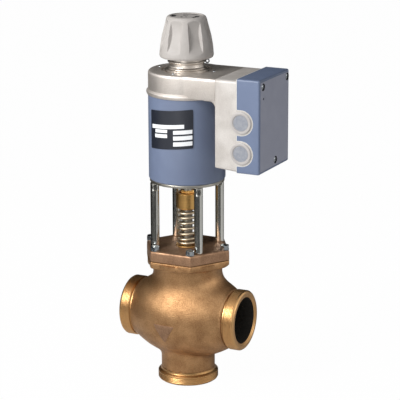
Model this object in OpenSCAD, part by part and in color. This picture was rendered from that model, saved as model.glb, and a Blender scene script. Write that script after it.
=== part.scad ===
// Modulating solenoid valve: a three-way mixing valve with a magnetic actuator, in millimetres.
// The origin is the centre of the lower port's face, +Z runs up the stem and +X through the outlet.

/* [Ports] */
// Distance between the faces of the two side ports
face_to_face = 125; // [123:0.5:132]
// Height of the side ports' axis over the lower port's face
port_centre_h = 67.5; // [66:0.5:74]
// Radius of the pipe thread on each port
port_thread_r = 29.8; // [29.2:0.1:30.4]
// Radius of the flow bore in each port
port_bore_r = 22.7; // [21.5:0.1:23.4]
// Width of the threaded collar on a side port
side_collar_w = 11.5; // [10:0.5:13]
// Height of the threaded collar on the lower port
lower_collar_h = 8.9; // [8:0.1:10]
// Chamfer at the mouth of each port
port_chamfer = 1.2; // [0.6:0.1:1.6]
// Height of the sloped shoulder over the lower collar
lower_shoulder_h = 3.4; // [2.5:0.1:5]
// Radius of the neck over the lower collar
lower_neck_r = 26.5; // [25.6:0.1:27.5]

/* [Valve body] */
// Radius of the body's bulge at its middle
barrel_r = 44; // [43:0.5:47]
// Radius of the body's bulge beside the side collars
barrel_end_r = 28.2; // [27.4:0.1:29]
// Width of the groove behind each side collar
collar_groove_w = 1.7; // [1.2:0.1:2.4]
// Depth of the groove behind each side collar
collar_groove_d = 2; // [1.2:0.1:2.6]
// Width of the lip on the body behind each groove
collar_lip_w = 2; // [1:0.1:3]
// Radius of the lip on the body behind each groove
collar_lip_r = 29; // [28.4:0.1:29.4]
// Radius of the upper neck
neck_r = 34; // [33.2:0.1:34.8]
// Radius of the upper neck's bore
neck_bore_r = 28.3; // [27.6:0.1:29]
// Height of the flange's underside over the side ports' axis
flange_under_h = 52.1; // [51:0.1:55]
// Thickness of the body's flange
flange_t = 6.9; // [6.2:0.1:9]
// Distance from the stem to the four side corners of the hexagonal flange and bonnet
flange_corner_r = 43.5; // [43:0.1:44.5]
// Distance from the stem to the two end corners of the hexagonal flange and bonnet
flange_end_r = 45.4; // [45:0.1:46.5]
// Bevel under the flange's end corners
flange_bevel = 3.6; // [2.6:0.1:4]
// Radius of the chamber between the two seats
chamber_r = 27; // [25.5:0.1:28]
// Wall between the chamber and the inlet passage
chamber_wall = 4; // [3:0.1:5]
// Least wall of the casting round the inlet passage
casting_wall = 4.8; // [4:0.1:6]

/* [Seats and plug] */
// Height between the two seats
seat_gap = 26; // [25:0.1:27]
// Stroke of the stem
stroke = 8; // [6:0.5:9]
// Height of each seat ring
seat_ring_h = 5; // [4:0.1:6]
// Outer radius of each seat ring
seat_ring_r = 20; // [19.2:0.1:21]
// Radius of the flow bore in each seat ring
seat_bore_r = 16; // [15.2:0.1:16.8]
// Radius of the plug's disc
plug_r = 18; // [17.4:0.1:18.8]
// Radius of the soft seals on the plug
plug_seal_r = 19; // [18:0.1:20]
// Thickness of the soft seals on the plug
plug_seal_t = 2; // [1.4:0.1:2.6]
// Length of each throttling cone on the plug
plug_cone_h = 9; // [7:0.5:10]
// Radius of each throttling cone at its tip
plug_cone_tip_r = 9; // [7.5:0.5:11]

/* [Stem and spring] */
// Radius of the stem
stem_r = 5; // [4.5:0.1:5.3]
// Length of the stem below the plug's middle
stem_tail_h = 11; // [9:0.5:13]
// Outer radius of the return spring
spring_r = 10; // [9.8:0.1:10.4]
// Diameter of the return spring's wire
spring_wire_d = 2.6; // [2.2:0.1:2.7]
// Turns of the return spring
spring_turns = 7; // [6:1:8]
// Rise of a closed end turn of the spring
spring_end_pitch = 3.2; // [3.2:0.1:3.6]
// Height of the space that the return spring fills
spring_space_h = 36.5; // [36:0.5:40]
// Radius of the brass spring retainer
retainer_r = 11.2; // [11:0.1:12]
// Height of the brass spring retainer
retainer_h = 16; // [14:0.5:17]
// Chamfer on the retainer's lower edge
retainer_chamfer = 1.4; // [0.6:0.1:2]
// Depth of the recess in the retainer's top
retainer_recess_d = 2; // [1:0.1:3]
// Height of the lock nut over the retainer
lock_nut_h = 5; // [4:0.1:6]
// Corner radius of the lock nut
lock_nut_r = 7.4; // [6.8:0.1:8]

/* [Bonnet] */
// Thickness of the bonnet's hexagonal plate
bonnet_t = 10.6; // [10:0.1:12]
// Bevel on top of the bonnet's end corners
bonnet_bevel = 2.6; // [1:0.1:3.2]
// Depth of the bonnet's spigot in the neck
bonnet_spigot_h = 13; // [11:0.5:15]
// Depth of the bonnet's hub below its spigot
bonnet_hub_h = 8; // [6:0.5:10]
// Radius of the bonnet's hub
bonnet_hub_r = 13; // [12:0.5:15]
// Thickness of the bonnet's gasket
gasket_t = 1.5; // [1:0.1:2]
// Radial width of the bonnet's gasket
gasket_w = 3.4; // [2.6:0.1:4]
// Outer radius of the guide bush
guide_bush_r = 7.5; // [7:0.1:8]
// Outer radius of the stem seals and the gland
gland_r = 9; // [8.6:0.1:9.6]
// Height of the stack of stem seals
stem_seal_h = 8; // [6:0.5:10]
// Radius of the spring's seat
spring_seat_r = 11.5; // [11.2:0.1:12.4]
// Thickness of the spring's seat
spring_seat_t = 2.5; // [2.4:0.1:3]
// Height that the spring's seat stands over the bonnet
spring_seat_stand = 0.5; // [0.3:0.1:0.9]
// Distance from the flange's side corners to their bolts
bolt_side_set = 5.5; // [5:0.1:6]
// Distance from the flange's end corners to their bolts
bolt_end_set = 5.2; // [5:0.1:6]
// Width across the flats of a bolt's head
bolt_head_w = 8; // [7:0.1:8.4]
// Height of a bolt's head
bolt_head_h = 4.6; // [3.5:0.1:5.5]
// Radius of a bolt's shank
bolt_r = 2.5; // [2:0.1:2.8]
// Depth of a bolt in the body's flange
bolt_grip_h = 5; // [4:0.1:5.4]

/* [Pillars] */
// Radius of the circle on which the pillars stand
pillar_circle_r = 33.3; // [32.8:0.1:33.6]
// Radius of a pillar
pillar_r = 4.3; // [3.8:0.1:4.5]
// Height of a pillar between its shoulders
pillar_h = 65.6; // [63:0.1:72]
// Radius of a pillar's lower spigot
pillar_foot_r = 3; // [2.5:0.1:3.2]
// Length of a pillar's lower spigot
pillar_foot_h = 8; // [6:0.5:9]
// Radius of a pillar's upper spigot
pillar_tip_r = 2.2; // [1.8:0.1:2.5]
// Width across a pillar's spanner flats
pillar_flat_w = 7; // [6.4:0.1:7.4]
// Height of a pillar's spanner flats
pillar_flat_h = 7; // [5:0.5:9]

/* [Magnet] */
// Outer radius of the painted shell
shell_r = 37.3; // [37.2:0.1:38.5]
// Wall of the painted shell
shell_wall = 2.5; // [2:0.1:3]
// Height of the painted shell
shell_h = 84.8; // [83:0.1:88]
// Radius of the plate's rim under the shell
plate_rim_r = 36.4; // [36.2:0.1:36.9]
// Thickness of the plate's rim under the shell
plate_rim_t = 2.6; // [2.2:0.1:4]
// Thickness of the plate's spigot in the shell
plate_spigot_t = 6; // [4:0.5:8]
// Thickness of the yoke over the coil
yoke_t = 6; // [4:0.5:7]
// Radius of the armature and the fixed core
armature_r = 10.5; // [10:0.1:11]
// Height of the armature
armature_h = 30; // [26:0.5:31]
// Height of the fixed core over the plate's underside
core_h = 39.9; // [38:0.1:42]
// Radius of the fixed core's flange
core_flange_r = 13; // [12.5:0.1:15]
// Thickness of the fixed core's flange
core_flange_t = 2.5; // [2:0.1:3]
// Least air gap between armature and core
air_gap = 0.6; // [0.3:0.1:1]
// Wall of the armature's guide tube
guide_tube_wall = 0.75; // [0.6:0.05:1]
// Wall of the coil's bobbin
bobbin_wall = 2; // [1.5:0.1:2.5]
// Outer radius of the coil's bobbin
bobbin_r = 34; // [32:0.1:34.2]
// Outer radius of the copper winding
winding_r = 32.5; // [30:0.1:33]

/* [Nameplate] */
// Thickness of the nameplate
nameplate_t = 0.5; // [0.3:0.1:0.8]
// Height of the nameplate
nameplate_h = 37.5; // [34:0.5:40]
// Distance of the nameplate's upper edge below the shell's upper edge
nameplate_drop = 12.2; // [8:0.1:14]
// Angle that the nameplate spans
nameplate_span = 73.5; // [65:0.5:80]
// Angle of the nameplate's middle about the stem
nameplate_turn = 268.75; // [260:0.25:275]

/* [Cap and arm] */
// Height of the cap over the shell
cap_h = 21.5; // [20:0.1:24]
// Thickness of the cap's top
cap_top_t = 4; // [3:0.1:5]
// Wall of the cap and the arm
cap_wall = 3.6; // [3:0.1:4]
// Rounding of the cap's top edge
cap_round = 3; // [1.5:0.1:3.5]
// Width that the cap's bead stands out from the shell
cap_bead_w = 1.7; // [1.2:0.1:2.2]
// Height of the cap's skirt below the shell's upper edge
cap_skirt_h = 1.6; // [1:0.1:3]
// Height of the cap's bead
cap_bead_h = 3.2; // [2:0.1:4]
// Width of the arm
arm_w = 68.8; // [66:0.1:70]
// Distance from the stem to the arm's end
arm_reach = 46.5; // [46:0.1:50]
// Radius of the fillet under the arm's end
arm_fillet = 6.5; // [3:0.1:7]
// Radius of the circle of rivets on the cap
rivet_circle_r = 29; // [27:0.1:30]
// Radius of a rivet's head
rivet_r = 1.5; // [1:0.1:2]

/* [Handwheel] */
// Radius of the neck's flanges
collar_r = 17.9; // [17.4:0.1:18.4]
// Radius of the neck between its flanges
collar_waist_r = 16.4; // [16:0.1:17]
// Height of the neck over the cap
collar_h = 9; // [8.6:0.1:9.6]
// Radius of the neck's bore
collar_bore_r = 12.5; // [12:0.1:13]
// Gap between the neck and the handwheel
handwheel_gap = 2.8; // [2.4:0.1:3.4]
// Greatest radius of the handwheel
handwheel_r = 26.1; // [25.6:0.1:28]
// Height of the handwheel
handwheel_h = 40; // [38:0.5:44]
// Wall of the handwheel's lower rim
handwheel_rim_w = 3.6; // [3:0.1:3.8]
// Flutes round the handwheel
flute_count = 7; // [6:1:8]
// Width of a flute's flat floor
flute_floor_w = 10.2; // [8:0.1:11]
// Angle of the first flute about the stem
flute_turn = 267; // [260:1:310]
// Travel of the handwheel when it is pressed in
press_travel = 2.5; // [1.5:0.1:2.5]
// Travel of the thrust spindle while the handwheel turns
screw_travel = 6; // [5:0.5:6.5]
// Radius of the press sleeve
sleeve_r = 8; // [7.6:0.1:8.4]
// Width across the flats of the thrust spindle, and its thread's diameter
spindle_w = 6; // [5:0.1:6.6]

/* [Electronics housing] */
// Depth of the metal base from the arm's end
base_d = 22.1; // [20:0.1:24]
// Wall of the metal base
base_wall = 3; // [2.4:0.1:3.4]
// Height of the metal base at the arm's end
base_h = 85.3; // [83:0.1:90]
// Rise of the base's underside from the cover to the arm
base_slope = 1.8; // [0.5:0.1:3]
// Depth of the terminal cover
cover_d = 23.2; // [21:0.1:26]
// Wall of the terminal cover
cover_wall = 2.5; // [2:0.1:3]
// Height that the cover stands over the base's top
cover_top_lip = 2; // [1:0.1:2.2]
// Height that the cover reaches below the base's underside
cover_low_lip = 1.1; // [0.6:0.1:1.6]
// Rounding of the cover's edges
cover_round = 2; // [1:0.1:2.4]
// Thickness of the seal between base and cover
cover_seal_t = 0.4; // [0.3:0.1:0.8]
// Distance from the cover's joint to the middle of the cable entries
entry_set = 4.4; // [3.5:0.1:5.5]
// Radius of the boss round a cable entry
entry_boss_r = 12; // [11.4:0.1:12.6]
// Depth of the boss round a cable entry
entry_boss_d = 5.5; // [4.5:0.1:6.5]
// Radius of a cable entry's bore
entry_bore_r = 8.15; // [7.8:0.05:8.6]
// Radius of a cable plug's flange
plug_flange_r = 10.7; // [10:0.1:11.2]
// Thickness of a cable plug's flange
plug_flange_t = 1.4; // [1:0.1:2]
// Height of the upper cable entry over the base's lower corner
upper_entry_h = 45.8; // [44:0.1:48]
// Height of the lower cable entry over the base's lower corner
lower_entry_h = 16.3; // [15:0.1:18]
// Thickness of the circuit board
board_t = 1.6; // [1.2:0.1:2]
// Distance of the circuit board from the base's back wall
board_stand = 9.5; // [8:0.1:10.5]

/* [Hidden] */
$fn = 72;

// Fits and overruns
running_gap = 0.05;
seat_touch = 0.1;
face_gap = 0.3;
stem_gap = 0.5;
cut_over = 1;

// Valve body: levels and places
half_face = face_to_face / 2;
collar_back = half_face - side_collar_w;
barrel_end = collar_back - collar_groove_w;
lower_neck_z = lower_collar_h + lower_shoulder_h;
barrel_drop = (barrel_end ^ 2 + barrel_end_r ^ 2 - barrel_r ^ 2) / (2 * (barrel_r - barrel_end_r));
barrel_arc_r = barrel_r + barrel_drop;
barrel_steps = 14;
passage_start = barrel_end - collar_lip_w - port_chamfer;
passage_mid_share = 0.4;
passage_end = passage_start * passage_mid_share;
flange_under_z = port_centre_h + flange_under_h;
body_top_z = flange_under_z + flange_t;
upper_seat_z = port_centre_h + seat_gap / 2;
lower_seat_z = port_centre_h - seat_gap / 2;
throat_share = 0.66;
throat_w = 2 * chamber_r * throat_share;
right_bore_start = neck_bore_r + chamber_wall;
gasket_in_r = neck_bore_r + stem_gap;
gasket_seat_d = gasket_t - face_gap;

// Bonnet and stem: levels and places
bonnet_z = body_top_z + face_gap;
bonnet_top_z = bonnet_z + bonnet_t;
spigot_z = bonnet_z - bonnet_spigot_h;
hub_z = spigot_z - bonnet_hub_h;
seat_top_z = bonnet_top_z + spring_seat_stand;
seat_bottom_z = seat_top_z - spring_seat_t;
seal_z = spigot_z + bonnet_hub_h / 2;
gland_z = seal_z + stem_seal_h;
bolt_count = 6;
end_bolt_every = 3;
bolt_circle_r = flange_corner_r - bolt_side_set;
bolt_end_r = flange_end_r - bolt_end_set;
pillar_count = 4;
pillar_turn = 45;
retainer_z = seat_top_z + spring_space_h;
lock_nut_z = retainer_z + retainer_h - retainer_recess_d;
plug_top_z = upper_seat_z - seat_touch;
plug_h = seat_gap - stroke - 2 * seat_touch;
plug_z = plug_top_z - plug_h;
plug_cone_r = seat_bore_r - stem_gap;
plug_hub_r = plug_cone_tip_r;
stem_z = plug_z + plug_h / 2 - stem_tail_h;

// Return spring: a helix of a round wire with closed ends
wire_r = spring_wire_d / 2;
helix_r = spring_r - wire_r;
curl_rings = 8;
wire_sides = 6;
spring_start_turn = 170;
helix_low_z = seat_top_z + face_gap + wire_r;
helix_high_z = retainer_z - face_gap - wire_r;
helix_rise = helix_high_z - helix_low_z;
mid_pitch = (helix_rise - 2 * spring_end_pitch) / (spring_turns - 2);
tip_hole_r = wire_r + face_gap;
tip_hole_d = spring_wire_d - wire_r;

// Magnet: levels
plate_z = bonnet_top_z + pillar_h;
plate_rim_top_z = plate_z + plate_rim_t;
shell_z = plate_rim_top_z + face_gap;
shell_top_z = shell_z + shell_h;
shell_in_r = shell_r - shell_wall;
yoke_z = shell_top_z - yoke_t;
bobbin_z = plate_rim_top_z + plate_spigot_t + face_gap;
bobbin_h = yoke_z - face_gap - bobbin_z;
core_top_z = plate_z + core_h;
armature_z = core_top_z + air_gap + stroke;
armature_top_z = armature_z + armature_h;
armature_roof_t = 5;
stem_top_z = armature_top_z - armature_roof_t;
guide_tube_in_r = armature_r + running_gap;
guide_tube_r = guide_tube_in_r + guide_tube_wall;
bobbin_in_r = guide_tube_r + face_gap;
lead_x = (bobbin_in_r + bobbin_r) / 2;

// Cap and arm: levels
cap_z = shell_top_z + face_gap;
cap_top_z = cap_z + cap_h;
cap_in_z = cap_top_z - cap_top_t;
cap_in_r = shell_r - cap_wall;
bead_r = shell_r + cap_bead_w;
arm_half_w = arm_w / 2;
arm_z = shell_top_z - face_gap;
window_side_set = 10.8;
window_top_set = 1.5;
window_half_w = arm_half_w - window_side_set;
window_z = arm_z + cap_wall + cap_round;
window_top_z = cap_in_z - window_top_set;
lead_z = (window_z + window_top_z) / 2;
rivet_head_h = rivet_r / 2;
rivet_count = 4;
cap_ring_w = 5.5;
cap_ring_d = 0.8;

// Handwheel and its neck: levels
collar_top_z = cap_top_z + collar_h;
collar_flange_t = 2.4;
collar_rib_t = 1.3;
collar_floor_t = 2.5;
collar_foot_h = 8.75;
collar_floor_z = cap_top_z - collar_foot_h;
collar_foot_r = collar_waist_r - stem_gap;
ring_t = 1.5;
ring_groove_d = 0.8;
ring_set = 3.4;
ring_top_z = collar_top_z - ring_set;
ring_z = ring_top_z - ring_t;
sleeve_flange_t = 3;
sleeve_flange_z = ring_z - seat_touch - sleeve_flange_t;
sleeve_tail_w = 12;
sleeve_tail_h = 12.2;
sleeve_tail_z = sleeve_flange_z - sleeve_tail_h;
tail_hole_w = sleeve_tail_w + 2 * seat_touch;
spindle_hole_w = spindle_w + 2 * seat_touch;
press_spring_in_r = sleeve_tail_w * sqrt(2) / 2 + face_gap;
handwheel_z = collar_top_z + handwheel_gap;
handwheel_top_z = handwheel_z + handwheel_h;
hub_low_z = handwheel_z;
hub_r = collar_bore_r - face_gap;
clip_t = 1.2;
clip_w = 1.7;
clip_room_h = 5;
hub_sink_share = 0.4;
hub_high_z = handwheel_top_z - handwheel_h * hub_sink_share;
clip_z = hub_high_z + face_gap;
sleeve_top_z = clip_z + clip_t + face_gap;
nut_z = hub_high_z + clip_room_h;
nut_h = 5;
nut_r = 8.5;
cap_disc_r = 15.5;
cap_disc_t = 3;
cap_disc_sink = 0.8;
cap_disc_z = handwheel_top_z - cap_disc_sink - cap_disc_t;
slot_r = 10.5;
slot_w = 2.6;
slot_d = 1.2;
slot_span = 70;
slot_count = 3;
eyelet_r = 1.9;
eyelet_hole_r = 0.95;
eyelet_t = 1.2;
eyelet_turn = 26;
spindle_shoulder_z = handwheel_z;
spindle_top_z = nut_z + nut_h + face_gap;
spindle_z = armature_top_z + press_travel + screw_travel + stem_gap;
// Radius and height of the handwheel's outline, as shares of its greatest radius and its height
handwheel_outline_shares = [
    [0.895, 0], [0.975, 0.02], [1, 0.06], [0.977, 0.273], [0.912, 0.518], [0.789, 0.823],
    [0.751, 0.925], [0.705, 0.982], [0.651, 1]
];
// Radius and height of both ends of a flute's floor, as the same shares
flute_line_shares = [[0.9, 0.16], [0.7, 0.9]];
// Widening of a flute on each side, for each unit of its depth
flute_slope = 0.65;
flute_cut_d = 6;

// Electronics housing: levels and places
base_x = arm_reach;
base_end_x = base_x + base_d;
base_top_z = cap_top_z;
base_low_z = base_top_z - base_h;
cover_x = base_end_x + cover_seal_t;
cover_end_x = cover_x + cover_d;
cover_low_z = base_low_z - base_slope - cover_low_lip;
cover_top_z = base_top_z + cover_top_lip;
entry_x = cover_x + entry_set;
board_x = base_x + base_wall + board_stand;
board_end_x = board_x + board_t;
// Side place and height of the cover's screws, as shares of the arm's half width and the base's height
cover_screw_shares = [[-0.75, 0.938], [0.86, 0.941], [0.09, 0.056]];
cover_screw_head_r = 3;
cover_screw_head_t = 2.4;
cover_screw_sink = 3;
cover_screw_r = 2;
cover_screw_grip = 12;
cover_post_r = 4.5;
board_side_gap = 2.4;
board_low_share = 0.13;
board_high_share = 0.86;
board_half_w = arm_half_w - base_wall - board_side_gap;
board_z = base_low_z + base_h * board_low_share;
board_h = base_h * (board_high_share - board_low_share);
standoff_r = 3;
standoff_share = 0.88;
standoff_set = 5;
block_d = 11;
block_h = 9;
block_w = 40;
block_count = 2;
block_z_share = 0.28;
block_pitch_share = 0.3;
block_screw_r = 2.2;
block_screw_d = 1.5;
block_screw_count = 5;
led_r = 1.2;
// Side place and height of the status lamp, as shares of the arm's half width and the base's height
led_place_share = [-0.73, 0.806];
led_y = led_place_share[0] * arm_half_w;
led_z = base_low_z + led_place_share[1] * base_h;
lead_r = 0.9;
lead_gap = 8;
arm_screw_rise = 7.5;
arm_screw_z = arm_z + arm_screw_rise;
base_screw_r = 2;
base_screw_head_r = 3.6;
base_screw_head_t = 2;
base_screw_grip = 2.4;
standoff_low_z = board_z + standoff_set;
standoff_high_z = arm_screw_z - base_screw_head_r - standoff_r - stem_gap;
plug_wall = 1.2;
membrane_t = 0.8;

// Turns what follows so that its Z axis points along +X
module along_x() {
    rotate([0, 90, 0]) children();
}

// Turns what follows so that its Z axis points along -Y
module along_front() {
    rotate([90, 0, 0]) children();
}

// Copies what follows round the stem
module round_stem(count, radius, first = 0) {
    for (i = [0 : count - 1]) rotate([0, 0, first + i * 360 / count]) translate([radius, 0, 0]) children();
}

// Ring between two levels
module ring(outer_r, inner_r, low, high) {
    translate([0, 0, low])
        difference() {
            cylinder(r = outer_r, h = high - low);
            translate([0, 0, -cut_over]) cylinder(r = inner_r, h = high - low + 2 * cut_over);
        }
}

// Square bar about the stem's axis between two levels
module square_bar(w, low, high) {
    translate([-w / 2, -w / 2, low]) cube([w, w, high - low]);
}

// Rectangle with round corners about its centre
module round_rect(w, h, r) {
    translate([-w / 2 + r, -h / 2]) square([w - 2 * r, h]);
    translate([-w / 2, -h / 2 + r]) square([w, h - 2 * r]);
    for (sx = [-1, 1], sy = [-1, 1]) translate([sx * (w / 2 - r), sy * (h / 2 - r)]) circle(r = r);
}

// Radius of the body's bulge at a distance from the stem
function barrel_radius(x) = sqrt(barrel_arc_r ^ 2 - x ^ 2) - barrel_drop;

// Barrel-shaped bulge of the body, about the side ports' axis
module barrel() {
    outline = [
        [0, -barrel_end],
        for (i = [0 : barrel_steps])
            let (x = barrel_end * (2 * i / barrel_steps - 1))
            [barrel_radius(x), x],
        [0, barrel_end]
    ];
    translate([0, 0, port_centre_h]) along_x() rotate_extrude() polygon(outline);
}

// Threaded collar of a side port with the groove behind it, on the +X side
module side_collar() {
    groove_r = port_thread_r - collar_groove_d;
    translate([0, 0, port_centre_h]) along_x()
        rotate_extrude()
            polygon([
                [port_bore_r, barrel_end], [groove_r, barrel_end], [groove_r, collar_back],
                [port_thread_r, collar_back], [port_thread_r, half_face - port_chamfer],
                [port_thread_r - port_chamfer, half_face], [port_bore_r, half_face]
            ]);
}

module inlet_collar() {
    color("#b98f4a") mirror([1, 0, 0]) side_collar();
}

module outlet_collar() {
    color("#b98f4a") side_collar();
}

module bypass_collar() {
    color("#b98f4a")
        rotate_extrude()
            polygon([
                [port_bore_r, 0], [port_thread_r - port_chamfer, 0], [port_thread_r, port_chamfer],
                [port_thread_r, lower_collar_h], [lower_neck_r, lower_neck_z],
                [port_bore_r, lower_neck_z]
            ]);
}

// Hexagonal plate between two levels, inside a cone that bevels its corners
module hex_plate(low, high, low_r, high_r) {
    translate([0, 0, low])
        intersection() {
            linear_extrude(height = high - low)
                polygon([
                for (a = [0 : 60 : 300])
                    (a % 180 == 0 ? flange_end_r : flange_corner_r) * [cos(a), sin(a)]
            ]);
            cylinder(r1 = low_r, r2 = high_r, h = high - low);
        }
}

// Copies what follows to the bonnet's bolts
module bolt_places() {
    for (i = [0 : bolt_count - 1]) rotate([0, 0, i * 360 / bolt_count])
        translate([i % end_bolt_every == 0 ? bolt_end_r : bolt_circle_r, 0, 0]) children();
}

// Everything that flows through the body
module passages() {
    left_r = barrel_radius(passage_start) - casting_wall;
    right_r = barrel_radius(passage_end) - casting_wall;
    // Lower port, up to the lower seat
    translate([0, 0, -cut_over])
        cylinder(r = port_bore_r, h = lower_seat_z - seat_ring_h + cut_over);
    translate([0, 0, lower_seat_z - seat_ring_h - cut_over])
        cylinder(r = seat_ring_r, h = seat_gap + 2 * seat_ring_h + 2 * cut_over);
    // Chamber between the seats, and the outlet port
    translate([0, 0, lower_seat_z]) cylinder(r = chamber_r, h = seat_gap);
    translate([0, -throat_w / 2, lower_seat_z]) cube([right_bore_start + cut_over, throat_w, seat_gap]);
    translate([right_bore_start, 0, port_centre_h]) along_x()
        cylinder(r = port_bore_r, h = half_face - right_bore_start + cut_over);
    // Space over the upper seat
    translate([0, 0, upper_seat_z + seat_ring_h])
        cylinder(r = neck_bore_r, h = body_top_z - upper_seat_z - seat_ring_h + cut_over);
    // Inlet port and its passage over the chamber
    difference() {
        translate([-half_face - cut_over, 0, port_centre_h]) along_x()
            cylinder(r = port_bore_r, h = half_face + cut_over);
        cylinder(r = chamber_r + chamber_wall, h = upper_seat_z + seat_ring_h);
    }
    difference() {
        translate([-passage_start, 0, port_centre_h]) along_x()
            cylinder(r1 = left_r, r2 = right_r, h = passage_start - passage_end);
        cylinder(r = chamber_r + chamber_wall, h = upper_seat_z + seat_ring_h);
    }
}

module valve_body() {
    color("#8f6b42")
        difference() {
            union() {
                barrel();
                for (side = [-1, 1])
                    translate([side * (barrel_end - collar_lip_w / 2), 0, port_centre_h]) along_x()
                        cylinder(r = collar_lip_r, h = collar_lip_w, center = true);
                translate([0, 0, lower_neck_z])
                    cylinder(r = lower_neck_r, h = port_centre_h - lower_neck_z);
                translate([0, 0, port_centre_h]) cylinder(r = neck_r, h = flange_under_h + cut_over);
                hex_plate(flange_under_z, body_top_z, flange_end_r - flange_bevel,
                          flange_end_r - flange_bevel + flange_t);
            }
            passages();
            ring(gasket_in_r + gasket_w, 0, body_top_z - gasket_seat_d, body_top_z + cut_over);
            bolt_places()
                translate([0, 0, body_top_z - bolt_grip_h - face_gap])
                    cylinder(r = bolt_r + running_gap, h = bolt_grip_h + face_gap + cut_over);
        }
}

module upper_seat_ring() {
    color("#b9b3a6") ring(seat_ring_r, seat_bore_r, upper_seat_z, upper_seat_z + seat_ring_h);
}

module lower_seat_ring() {
    color("#b9b3a6") ring(seat_ring_r, seat_bore_r, lower_seat_z - seat_ring_h, lower_seat_z);
}

module bonnet() {
    color("#7a5a3c")
        difference() {
            union() {
                hex_plate(bonnet_z, bonnet_top_z, flange_end_r - bonnet_bevel + bonnet_t,
                          flange_end_r - bonnet_bevel);
                translate([0, 0, spigot_z])
                    cylinder(r = neck_bore_r - running_gap, h = bonnet_spigot_h + cut_over);
                translate([0, 0, hub_z]) cylinder(r = bonnet_hub_r, h = bonnet_hub_h + cut_over);
            }
            translate([0, 0, hub_z - cut_over]) cylinder(r = guide_bush_r, h = bonnet_hub_h * 2);
            translate([0, 0, seal_z]) cylinder(r = gland_r, h = bonnet_top_z - seal_z + cut_over);
            translate([0, 0, seat_bottom_z])
                cylinder(r = spring_seat_r + running_gap, h = spring_seat_t + cut_over);
            bolt_places()
                translate([0, 0, bonnet_z - cut_over])
                    cylinder(r = bolt_r + face_gap / 2, h = bonnet_t + 2 * cut_over);
            round_stem(pillar_count, pillar_circle_r, pillar_turn)
                translate([0, 0, bonnet_top_z - pillar_foot_h - face_gap])
                    cylinder(r = pillar_foot_r + running_gap, h = pillar_foot_h + face_gap + cut_over);
        }
}

module bonnet_gasket() {
    color("#2b2b2b")
        ring(gasket_in_r + gasket_w - running_gap, gasket_in_r, body_top_z - gasket_seat_d, bonnet_z);
}

module bonnet_bolts() {
    color("#c9ccd0")
        bolt_places() {
            translate([0, 0, body_top_z - bolt_grip_h])
                cylinder(r = bolt_r, h = bolt_grip_h + bonnet_t + face_gap);
            translate([0, 0, bonnet_top_z]) cylinder(r = bolt_head_w / sqrt(3), h = bolt_head_h, $fn = 6);
        }
}

module guide_bush() {
    color("#b98f4a") ring(guide_bush_r, stem_r + running_gap, hub_z, seal_z);
}

module stem_seal() {
    color("#e6e2d6") ring(gland_r, stem_r + running_gap, seal_z, gland_z);
}

module gland_bush() {
    color("#b98f4a") ring(gland_r - running_gap, stem_r + running_gap, gland_z, seat_bottom_z);
}

module spring_seat() {
    color("#a87a4c")
        difference() {
            ring(spring_seat_r, stem_r + face_gap, seat_bottom_z, seat_top_z);
            rotate([0, 0, spring_start_turn])
                translate([helix_r, 0, seat_top_z - tip_hole_d])
                    cylinder(r = tip_hole_r, h = tip_hole_d + cut_over);
        }
}

// Height of the spring's wire over the first ring, at a share of its turns
function helix_height(turn) =
    turn < 1 ? spring_end_pitch * turn
    : turn > spring_turns - 1 ? helix_rise - spring_end_pitch * (spring_turns - turn)
    : spring_end_pitch + mid_pitch * (turn - 1);

// Point on the spring's centre line
function helix_point(turn) =
    let (a = spring_start_turn + 360 * turn)
    [helix_r * cos(a), helix_r * sin(a), helix_low_z + helix_height(turn)];

// Direction out from the stem, and along the wire, at a turn
function helix_out(turn) = let (a = spring_start_turn + 360 * turn) [cos(a), sin(a), 0];
function helix_along(turn) = let (a = spring_start_turn + 360 * turn) [-sin(a), cos(a), 0];

// Upward side of the wire's section at a turn, square to the wire
function helix_up(turn) =
    let (slope = mid_pitch / (2 * PI * helix_r), v = [0, 0, 1] - slope * helix_along(turn))
    v / norm(v);

// Ring of points round the wire
function wire_ring(centre, side, up) =
    [for (k = [0 : wire_sides - 1])
        centre + wire_r * (cos(k * 360 / wire_sides) * side + sin(k * 360 / wire_sides) * up)];

up_axis = [0, 0, 1];
helix_count = curl_rings * spring_turns;
spring_rings = [
    wire_ring(helix_point(0) - spring_wire_d * up_axis, helix_out(0), -helix_along(0)),
    wire_ring(helix_point(0), helix_out(0), up_axis - helix_along(0)),
    for (i = [1 : helix_count - 1]) let (t = i / curl_rings)
        wire_ring(helix_point(t), helix_out(t), helix_up(t)),
    wire_ring(helix_point(spring_turns), helix_out(spring_turns), up_axis - helix_along(spring_turns)),
    wire_ring(helix_point(spring_turns) + spring_wire_d * up_axis, helix_out(spring_turns),
              -helix_along(spring_turns))
];

// Faces of a tube through rings of points, all triangles
function tube_faces(rings, sides) = [
    for (i = [0 : rings - 2], k = [0 : sides - 1])
        let (a = i * sides + k, b = i * sides + (k + 1) % sides)
        each [[a, a + sides, b], [b, a + sides, b + sides]],
    for (k = [1 : sides - 2]) [0, k, k + 1],
    for (k = [1 : sides - 2]) let (last = (rings - 1) * sides) [last, last + k + 1, last + k]
];

// Least gap between turns of the wire, taken on the points of its centre line
spring_points = [for (i = [0 : helix_count]) helix_point(i / curl_rings)];
spring_least_gap = min([
    for (i = [0 : helix_count - curl_rings + 1], j = [i + curl_rings - 1 : helix_count])
        norm(spring_points[i] - spring_points[j])
]) - spring_wire_d;
echo(str("least gap of the return spring to itself, in mm: ", spring_least_gap));

module return_spring() {
    color("#b89b7d")
        polyhedron(
            points = [for (r = spring_rings) each r],
            faces = tube_faces(len(spring_rings), wire_sides)
        );
}

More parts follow.
